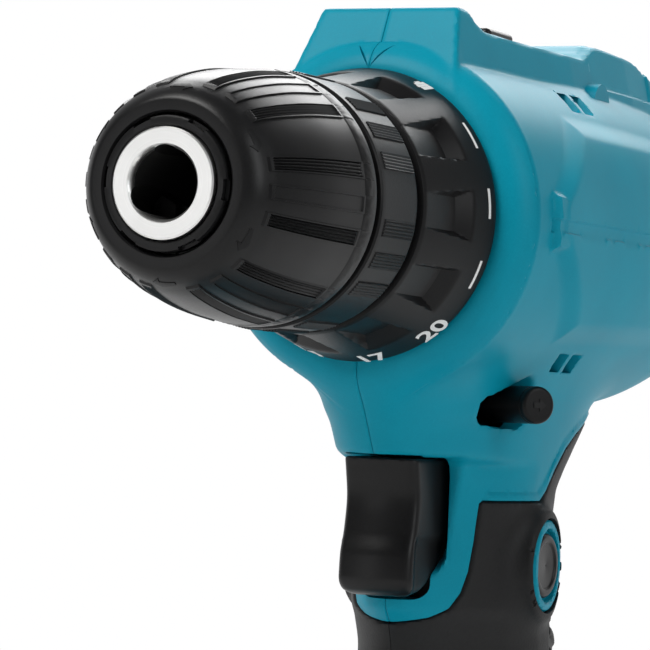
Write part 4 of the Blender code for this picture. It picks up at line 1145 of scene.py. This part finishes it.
# ------------------------------------------------------------------ torque ring
SCALLOPS = 11
SCALLOP_TURN = 25.2
MARK_PITCH = 28.4
NUMERALS = ("20", "17", "14", "11", "8", "5", "2", "1")


def torque_cone(y):
    return 22.4 + (np.asarray(y, float) + 22.4) * (26.5 - 22.4) / 21.4


def scalloped(radius, y, theta):
    """Finger recesses: level floors while the cone rises, each closed at the rear by a ramp."""
    degrees = np.degrees(theta)
    pitch = 360.0 / SCALLOPS
    away = np.abs((degrees - SCALLOP_TURN + pitch / 2) % pitch - pitch / 2)
    arc = away * math.pi / 180.0 * 24.0
    floor = 22.35 + 0.035 * (y + 22.0)
    wall = floor + np.maximum(arc - 3.25, 0.0) * 2.1
    ramp_up = floor + np.maximum(y + 10.8, 0.0) * 0.75
    cut = np.maximum(wall, ramp_up)
    smooth = soft_min(radius, cut, 0.22)
    return np.where((radius > 22.0) & (y < -3.0) & (y > -23.0), np.minimum(radius, smooth + 0.055), radius)


def build_torque_ring():
    low, high = span("torque_ring")
    front, rear = low[1], high[1]
    outline = [(9.0, front), (21.5, front), (22.1, front + 0.2), (22.4, front + 0.8)]
    outline += [(float(torque_cone(y)), y) for y in np.linspace(front + 1.3, -1.0, 44)]
    outline += [(26.45, -0.6), (26.3, -0.25), (25.9, rear), (19.0, rear), (19.0, front + 2.2),
                (9.0, front + 2.2)]
    made = lathe("look_torque_ring", outline, even(528), black(), scalloped, angle=26.0)
    settle(made, "torque_ring", "black_plastic", "torque_ring")
    for number in range(3):
        middle = MARK_PITCH * (number + 2)
        dash(f"ring_mark_{number + 1}", middle - 5.9, middle + 5.9, -3.1, -2.45)
    for number, (start, stop, near, far) in enumerate(((25.4, 26.9, -4.2, -0.9), (27.1, 28.6, -4.6, -0.9),
                                                       (28.8, 30.9, -4.2, -0.9), (24.4, 25.3, -3.4, -1.7))):
        dash(f"ring_drill_mark_{number + 1}", start, stop, near, far)
    for number, text in enumerate(NUMERALS):
        numeral(f"ring_number_{number + 1}", text, MARK_PITCH * (number + 5))


def dash(name, start, stop, near, far):
    outline = [(start + (stop - start) * i / 8, near) for i in range(9)]
    outline += [(stop + (start - stop) * i / 8, far) for i in range(9)]
    wrapped_plate(name, outline, torque_cone, 0.05, ink(), "torque_ring", "black_plastic", 0.1)


def numeral(name, text, middle):
    """Numeral printed on the cone, read with the chuck upwards."""
    data = bpy.data.curves.new(name, "FONT")
    data.body = text
    data.size = 6.0
    data.align_x = "CENTER"
    data.offset = 0.13
    data.resolution_u = 4
    flat = bpy.data.objects.new(name, data)
    bpy.context.scene.collection.objects.link(flat)
    mesh = bpy.data.meshes.new_from_object(flat.evaluated_get(bpy.context.evaluated_depsgraph_get()))
    bpy.data.objects.remove(flat, do_unlink=True)
    bm = bmesh.new()
    bm.from_mesh(mesh)
    bmesh.ops.remove_doubles(bm, verts=bm.verts, dist=1e-4)
    grown = bmesh.ops.extrude_face_region(bm, geom=bm.faces[:])
    lifted = {item for item in grown["geom"] if isinstance(item, bmesh.types.BMVert)}
    for vert in bm.verts:
        u, v = vert.co.x, vert.co.y
        y = -0.75 - v
        radius = float(torque_cone(y)) + (0.06 if vert in lifted else -0.1)
        angle = math.radians(middle) - u / 26.0
        vert.co = (radius * math.sin(angle), y, radius * math.cos(angle))
    made = from_bmesh(name, bm, ink())
    settle(made, "torque_ring", "black_plastic")


# ------------------------------------------------------------------ trigger, lever, speed selector
TRIGGER_FACE = curve_table([      # (z, y) of the middle of the trigger's face
    (-70.2, 17.4), (-69.3, 13.4), (-68.0, 11.4), (-65.8, 10.4), (-62.0, 10.6), (-57.0, 12.0), (-51.5, 12.7),
    (-46.0, 11.7), (-42.0, 10.6)])[0]


def trigger_field(x, y, z):
    """Paddle with a hollowed face and rounded sides, its rear hidden in the grip, and the round plunger."""
    face = (TRIGGER_FACE(z) + 0.02 * x * x - y) * 0.95
    half = 7.35 - 0.65 * ramp(y, 13.0, 15.5) * (1.0 - ramp(z, -60.0, -57.5))
    paddle = soft_max(face, plate(slab(x, -half, half), slab(z, -69.5, -30.0), 2.7), 1.7)
    side = np.maximum(polygon(y - 1.2 - 2.8 * ramp(z, -66.0, -60.0), z, OPENING) + 0.35,
                      slab(z, -69.5, -43.5))
    paddle = soft_max(paddle, side, 0.7)
    plunger = np.maximum(np.hypot(x, z + 56.0) - 3.0, slab(y, 20.0, 40.0))
    return np.minimum(paddle, plunger)


def build_trigger():
    low, high = span("trigger")
    made = sculpt("look_trigger", trigger_field, (-8.0, low[1] - 1.2, low[2] - 1.0),
                  (8.0, high[1] + 1.0, high[2] + 1.0),
                  0.42 * COARSE, black_satin(), 40.0)
    settle(made, "trigger", "black_plastic", "trigger")


def path_points(keys, count):
    """Smooth path through the keys by Catmull-Rom."""
    points = [Vector(key) for key in keys]
    points = [points[0] * 2 - points[1]] + points + [points[-1] * 2 - points[-2]]
    result = []
    spans = len(points) - 3
    for i in range(count):
        position = i / (count - 1) * spans
        cell = min(int(position), spans - 1)
        t = position - cell
        a, b, c, d = points[cell:cell + 4]
        bend = (2 * a - 5 * b + 4 * c - d) * t * t + (3 * b - a - 3 * c + d) * t ** 3
        result.append(0.5 * (2 * b + (c - a) * t + bend))
    return result


def build_lever():
    """Bowed crossbar with a round pad and a small arrow on each end."""
    low, high = span("direction_lever")
    z = (low[2] + high[2]) / 2
    keys = [(24.8, 28.3), (16.8, 33.9), (9.5, 39.0), (3.5, 40.6), (-2.5, 39.0), (-9.8, 33.9), (-17.8, 28.3)]
    line = path_points([(x, y, z) for x, y in keys], 61)
    lengths = [0.0]
    for a, b in zip(line, line[1:]):
        lengths.append(lengths[-1] + (b - a).length)
    total = lengths[-1]
    stations = [0.0, 0.001, 0.12, 0.34, 0.7, 1.25, 1.3, 1.65, 1.7, 2.2]
    stations = stations + list(np.linspace(3.5, total - 3.5, 44)) + [total - s for s in reversed(stations)]
    rings = []
    for s in stations:
        i = min(max(int(np.searchsorted(lengths, s)) - 1, 0), len(line) - 2)
        t = (s - lengths[i]) / (lengths[i + 1] - lengths[i])
        spot = line[i].lerp(line[i + 1], t)
        along = (line[i + 1] - line[i]).normalized()
        side = along.cross(Vector((0, 0, 1))).normalized()
        depth = min(s, total - s)
        radius = 3.5
        if depth < 0.7:
            radius = 2.85 + 0.65 * math.sqrt(max(0.0, 1 - (1 - depth / 0.7) ** 2))
        if 1.28 < depth < 1.67:
            radius = 3.38
        if depth < 0.0005:
            radius = 2.7
        rings.append([spot + side * (radius * math.cos(a)) + Vector((0, 0, 1)) * (radius * math.sin(a))
                      for a in even(48)])
    lever = from_bmesh("look_direction_lever", loft(rings), black(), 40.0)
    settle(lever, "direction_lever", "black_plastic", "direction_lever")
    for number, (tip, inner) in enumerate(((line[0], line[1]), (line[-1], line[-2])), start=1):
        out = (tip - inner).normalized()
        back = Vector((0, 1, 0))
        back = (back - out * back.dot(out)).normalized()
        up = out.cross(back).normalized()
        shape = [(-1.2, -0.5), (0.1, -0.5), (0.1, -1.2), (1.5, 0.0), (0.1, 1.2), (0.1, 0.5), (-1.2, 0.5)]
        rows = []
        for lift in (-0.1, 0.14):
            rows.append([tip + out * lift + back * u + up * v for u, v in shape])
        mark = from_bmesh(f"lever_arrow_{number}", loft(rows), black_satin())
        settle(mark, "direction_lever", "black_plastic")


def knob_field(x, y, z):
    low, high = KNOB
    body = brick(slab(x, -7.6, 7.6), slab(y, low[1], high[1]), slab(z, 34.0, high[2]), 1.1)
    wave = 0.5 + 0.5 * np.cos((y - (low[1] + high[1]) / 2) * (math.tau / 2.5))
    field = plate(slab(x, -5.8, 5.8), slab(y, low[1] + 2.0, high[1] - 2.0), 1.0)
    body = body + 0.75 * ramp(-field, 0.0, 0.5) * ramp(wave, 0.35, 0.75) * ramp(z, high[2] - 1.2,
                                                                                high[2] - 0.3)
    stem = brick(slab(x, -3.6, 3.6), slab(y, low[1] + 2.0, high[1] - 2.0), slab(z, 26.9, 35.0))
    return np.minimum(body, stem)


KNOB = span("speed_selector")


def build_knob():
    low, high = KNOB
    made = sculpt("look_speed_selector", knob_field, (-8.4, low[1] - 0.8, 26.2),
                  (8.4, high[1] + 0.8, high[2] + 0.8),
                  0.34 * COARSE, black_satin(), 40.0)
    settle(made, "speed_selector", "black_plastic", "speed_selector")


# ------------------------------------------------------------------ battery
CASE = span("battery_tray")
DECK = span("battery_top")
LATCH = span("battery_latch")


def pack_outline(x, y, inset):
    low, high = CASE
    half = high[0] - inset
    return plate(slab(x, -half, half), slab(y, low[1] + inset, high[1] - inset), max(6.5 - inset, 0.5))


def deck_field(x, y, z):
    """Upper half of the pack: a flat deck, a rail for the foot and a row of terminal slots."""
    shell = pack_outline(x, y, 0.0)
    shell = soft_max(shell, z - (CASE[1][2] + 11.4), 1.6)
    shell = np.maximum(shell, CASE[1][2] + 0.3 - z)
    step = np.abs(z - (CASE[1][2] + 1.6)) - 0.4
    shell = shell + 0.45 * ramp(-step, -0.2, 0.3)
    neck = np.maximum(plate(slab(x, -22.4, 22.4), slab(y, -8.4, 65.0), 0.4), slab(z, -153.0, -144.6))
    head = brick(slab(x, -26.4, 26.4), slab(y, -8.4, 65.0), slab(z, -145.0, DECK[1][2]), 0.5)
    body = np.minimum(np.minimum(shell, neck), head)
    slot = plate(np.abs((x + 7.0) % 14.0 - 7.0) - 1.4, slab(y, 46.0, 70.0), 0.2)
    slot = np.maximum(slot, np.abs(x) - 20.0)
    body = np.maximum(body, -np.maximum(slot, -146.0 - z))
    pocket = np.maximum(plate(np.abs(x) - 13.0, slab(y, -40.0, -9.2), 0.8), -161.2 - z)
    return soft_max(body, -pocket, 0.4)


def tray_field(x, y, z):
    """Lower half of the pack: bumpers on its edges, a sunk panel on each side and ribs for the fingers."""
    low, high = CASE
    bottom = low[2]
    body = pack_outline(x, y, 0.0)
    body = soft_max(body, bottom - z, 3.2)
    body = np.maximum(body, z - high[2])
    panel = plate(slab(y, 14.0, 88.0), slab(z, bottom + 7.0, high[2] - 5.0), 2.5)
    sunk = 0.9 * ramp(-panel, 0.0, 0.7) * ramp(np.abs(x), 30.0, 33.0)
    bars = ramp(0.5 + 0.5 * np.cos((y - 51.0) * (math.tau / 5.0)), 0.45, 0.75)
    barred = plate(slab(y, 30.0, 72.0), slab(z, bottom + 9.5, high[2] - 7.5), 1.0)
    sunk = sunk - 0.7 * ramp(-barred, 0.0, 0.5) * bars * ramp(np.abs(x), 30.0, 33.0)
    front = plate(np.abs(x) - 24.0, slab(z, bottom + 7.0, high[2] - 6.0), 2.5)
    sunk = sunk + 0.8 * ramp(-front, 0.0, 0.7) * ramp(-y, -low[1] - 3.0, -low[1] - 1.0)
    rear = plate(np.abs(x) - 26.0, slab(z, bottom + 7.0, high[2] - 5.0), 2.5)
    sunk = sunk + 0.8 * ramp(-rear, 0.0, 0.7) * ramp(y, high[1] - 3.0, high[1] - 1.0)
    label = plate(np.abs(x) - 25.0, slab(y, 18.0, 74.0), 2.0)
    foot = 0.7 * ramp(-label, 0.0, 0.6) * ramp(-z, -bottom - 2.5, -bottom - 0.5)
    corner = np.hypot(np.abs(x) - 30.0, np.abs(y - 45.0) - 48.0) - 3.2
    foot = np.maximum(foot, 2.2 * ramp(-corner, -0.1, 0.15) * ramp(-z, -bottom - 4.0, -bottom - 2.0))
    return body + sunk + foot


def build_battery():
    low, high = CASE
    step = 0.95 * COARSE
    deck = sculpt("look_battery_top", deck_field, (-39.5, low[1] - 1.5, high[2] - 0.7),
                  (39.5, high[1] + 1.5, DECK[1][2] + 1.0), step, black(), 34.0)
    inside = [rounded_ring(z, 6.0) for z in (high[2] - 4.0, high[2] + 8.9)]
    carve(deck, "DIFFERENCE", tool(loft(inside)))
    smooth_again(deck, black(), 34.0)
    settle(deck, "battery", "black_plastic", "battery_top")
    tray = sculpt("look_battery_tray", tray_field, (-39.5, low[1] - 1.5, low[2] - 1.5),
                  (39.5, high[1] + 1.5, high[2] + 1.4), step, black(), 34.0)
    hollow = [rounded_ring(z, 2.9) for z in (low[2] + 3.4, high[2] + 3.0)]
    carve(tray, "DIFFERENCE", tool(loft(hollow)))
    smooth_again(tray, black(), 34.0)
    settle(tray, "battery", "black_plastic", "battery_tray")
    latch_low, latch_high = ([value + shift for value in corner] for corner, shift in zip(LATCH, (-0.8, 0.8)))
    latch = sculpt("look_battery_latch", latch_field, latch_low, latch_high, 0.34 * COARSE, black_satin(),
                   40.0)
    settle(latch, "battery_latch", "black_plastic", "battery_latch")


def rounded_ring(z, inset):
    low, high = CASE
    half, front, rear, corner = high[0] - inset, low[1] + max(inset, 2.9), high[1] - 2.9, 4.0
    points = []
    for cx, cy, start in ((half - corner, rear - corner, 0), (corner - half, rear - corner, 90),
                          (corner - half, front + corner, 180), (half - corner, front + corner, 270)):
        for i in range(7):
            angle = math.radians(start + 15 * i)
            points.append((cx + corner * math.cos(angle), cy + corner * math.sin(angle), z))
    return points


def latch_field(x, y, z):
    low, high = LATCH
    body = brick(slab(x, low[0], high[0]), slab(y, low[1], high[1]), slab(z, low[2], high[2]), 0.8)
    ribs = 0.5 + 0.5 * np.cos((z - (low[2] + high[2]) / 2) * (math.tau / 2.3))
    zone = plate(np.abs(x) - 9.4, slab(z, low[2] + 1.4, high[2] - 1.4), 0.8)
    return body + 0.6 * ramp(-zone, 0.0, 0.4) * ramp(ribs, 0.4, 0.8) * ramp(low[1] + 1.2 - y, 0.0, 0.8)


# ------------------------------------------------------------------ stage
def build_stage():
    low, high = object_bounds()
    bm = bmesh.new()
    bmesh.ops.create_circle(bm, cap_ends=True, segments=96, radius=1.05)
    mesh = bpy.data.meshes.new("floor")
    bm.to_mesh(mesh)
    bm.free()
    floor = bpy.data.objects.new("floor", mesh)
    floor.location = ((low.x + high.x) / 2, (low.y + high.y) / 2, low.z - 0.0002)
    bpy.context.scene.collection.objects.link(floor)
    mesh.materials.append(finish("pale_floor", (0.78, 0.78, 0.78), (0.84, 0.84, 0.84), 0.6, grain=60, patch=3,
                                 relief=0.02))


BACKDROP = (-0.421, 0.907, 0.0)   # towards the white backdrop


def build_world():
    world = bpy.data.worlds.new("studio")
    bpy.context.scene.world = world
    world.use_nodes = True
    tree = world.node_tree
    background = tree.nodes["Background"]
    place = node(tree, "ShaderNodeTexCoord")
    split = node(tree, "ShaderNodeSeparateXYZ")
    tree.links.new(place.outputs["Generated"], split.inputs[0])
    shade = node(tree, "ShaderNodeValToRGB")
    shade.color_ramp.interpolation = "EASE"
    stops = shade.color_ramp.elements
    stops[0].position, stops[0].color = 0.0, (0.16, 0.16, 0.165, 1)
    stops[1].position, stops[1].color = 1.0, (0.42, 0.42, 0.43, 1)
    for position, level in ((0.36, 0.3), (0.43, 1.0), (0.585, 1.0), (0.66, 0.42)):
        stop = stops.new(position)
        stop.color = (level, level, level * 1.005, 1)
    fit = node(tree, "ShaderNodeMapRange")
    fit.inputs["From Min"].default_value = -1.0
    tree.links.new(split.outputs[2], fit.inputs["Value"])
    tree.links.new(fit.outputs[0], shade.inputs[0])
    tree.links.new(shade.outputs[0], background.inputs["Color"])
    behind = node(tree, "ShaderNodeVectorMath", operation="DOT_PRODUCT")
    tree.links.new(place.outputs["Generated"], behind.inputs[0])
    behind.inputs[1].default_value = BACKDROP
    strength = node(tree, "ShaderNodeMapRange", interpolation_type="SMOOTHSTEP")
    strength.inputs["From Min"].default_value = 0.1
    strength.inputs["From Max"].default_value = 0.85
    strength.inputs["To Min"].default_value = 0.25
    tree.links.new(behind.outputs["Value"], strength.inputs["Value"])
    tree.links.new(strength.outputs[0], background.inputs["Strength"])


def lamp(name, place, target, size, watts, colour=(1, 1, 1)):
    data = bpy.data.lights.new(name, "AREA")
    data.shape = "RECTANGLE"
    data.size, data.size_y = size
    data.energy = watts
    data.color = colour
    made = bpy.data.objects.new(name, data)
    made.location = place
    made.rotation_mode = "QUATERNION"
    made.rotation_quaternion = (Vector(target) - Vector(place)).to_track_quat("-Z", "Y")
    bpy.context.scene.collection.objects.link(made)


def build_lamps():
    aim = at(0, 10, -10)
    lamp("key", aim + Vector((-0.28, -0.62, 0.85)), aim, (0.55, 0.55), 11.0, (1.0, 0.99, 0.97))
    lamp("side", aim + Vector((0.95, -0.1, 0.42)), aim, (0.35, 0.8), 3.2, (0.97, 0.99, 1.0))
    lamp("back", aim + Vector((-0.2, 0.95, 0.7)), aim, (0.9, 0.5), 9.0)
    lamp("card", aim + Vector((-0.5, -1.0, 0.02)), aim, (0.3, 0.4), 0.6)


def build_camera():
    """Camera a little under the spindle's height, ahead and to the operator's left, with a slight roll."""
    azimuth, elevation, roll = math.radians(24.888), math.radians(-1.287), math.radians(2.346)
    back = Vector((math.sin(azimuth) * math.cos(elevation), -math.cos(azimuth) * math.cos(elevation),
                   math.sin(elevation)))
    level = Vector((math.cos(azimuth), math.sin(azimuth), 0.0))
    upright = back.cross(level)
    right = level * math.cos(roll) + upright * math.sin(roll)
    up = upright * math.cos(roll) - level * math.sin(roll)
    spot = at(0, 0, 0) + back * 0.6322 - right * 0.00656 - up * 0.01988
    data = bpy.data.cameras.new("camera")
    data.sensor_width = 36.0
    data.lens = 193.85
    data.clip_start, data.clip_end = 0.05, 50.0
    camera = bpy.data.objects.new("camera", data)
    camera.matrix_world = Matrix.Translation(spot) @ Matrix((right, up, back)).transposed().to_4x4()
    bpy.context.scene.collection.objects.link(camera)
    bpy.context.scene.camera = camera
    bpy.context.scene.view_settings.view_transform = "Standard"


def main():
    dress_frame()
    build_housing()
    build_grips()
    build_screw_heads()
    build_front_sleeve()
    build_rear_ring()
    build_nose()
    build_jaws()
    build_torque_ring()
    build_trigger()
    build_lever()
    build_knob()
    build_battery()
    build_stage()
    build_world()
    build_lamps()
    build_camera()


main()
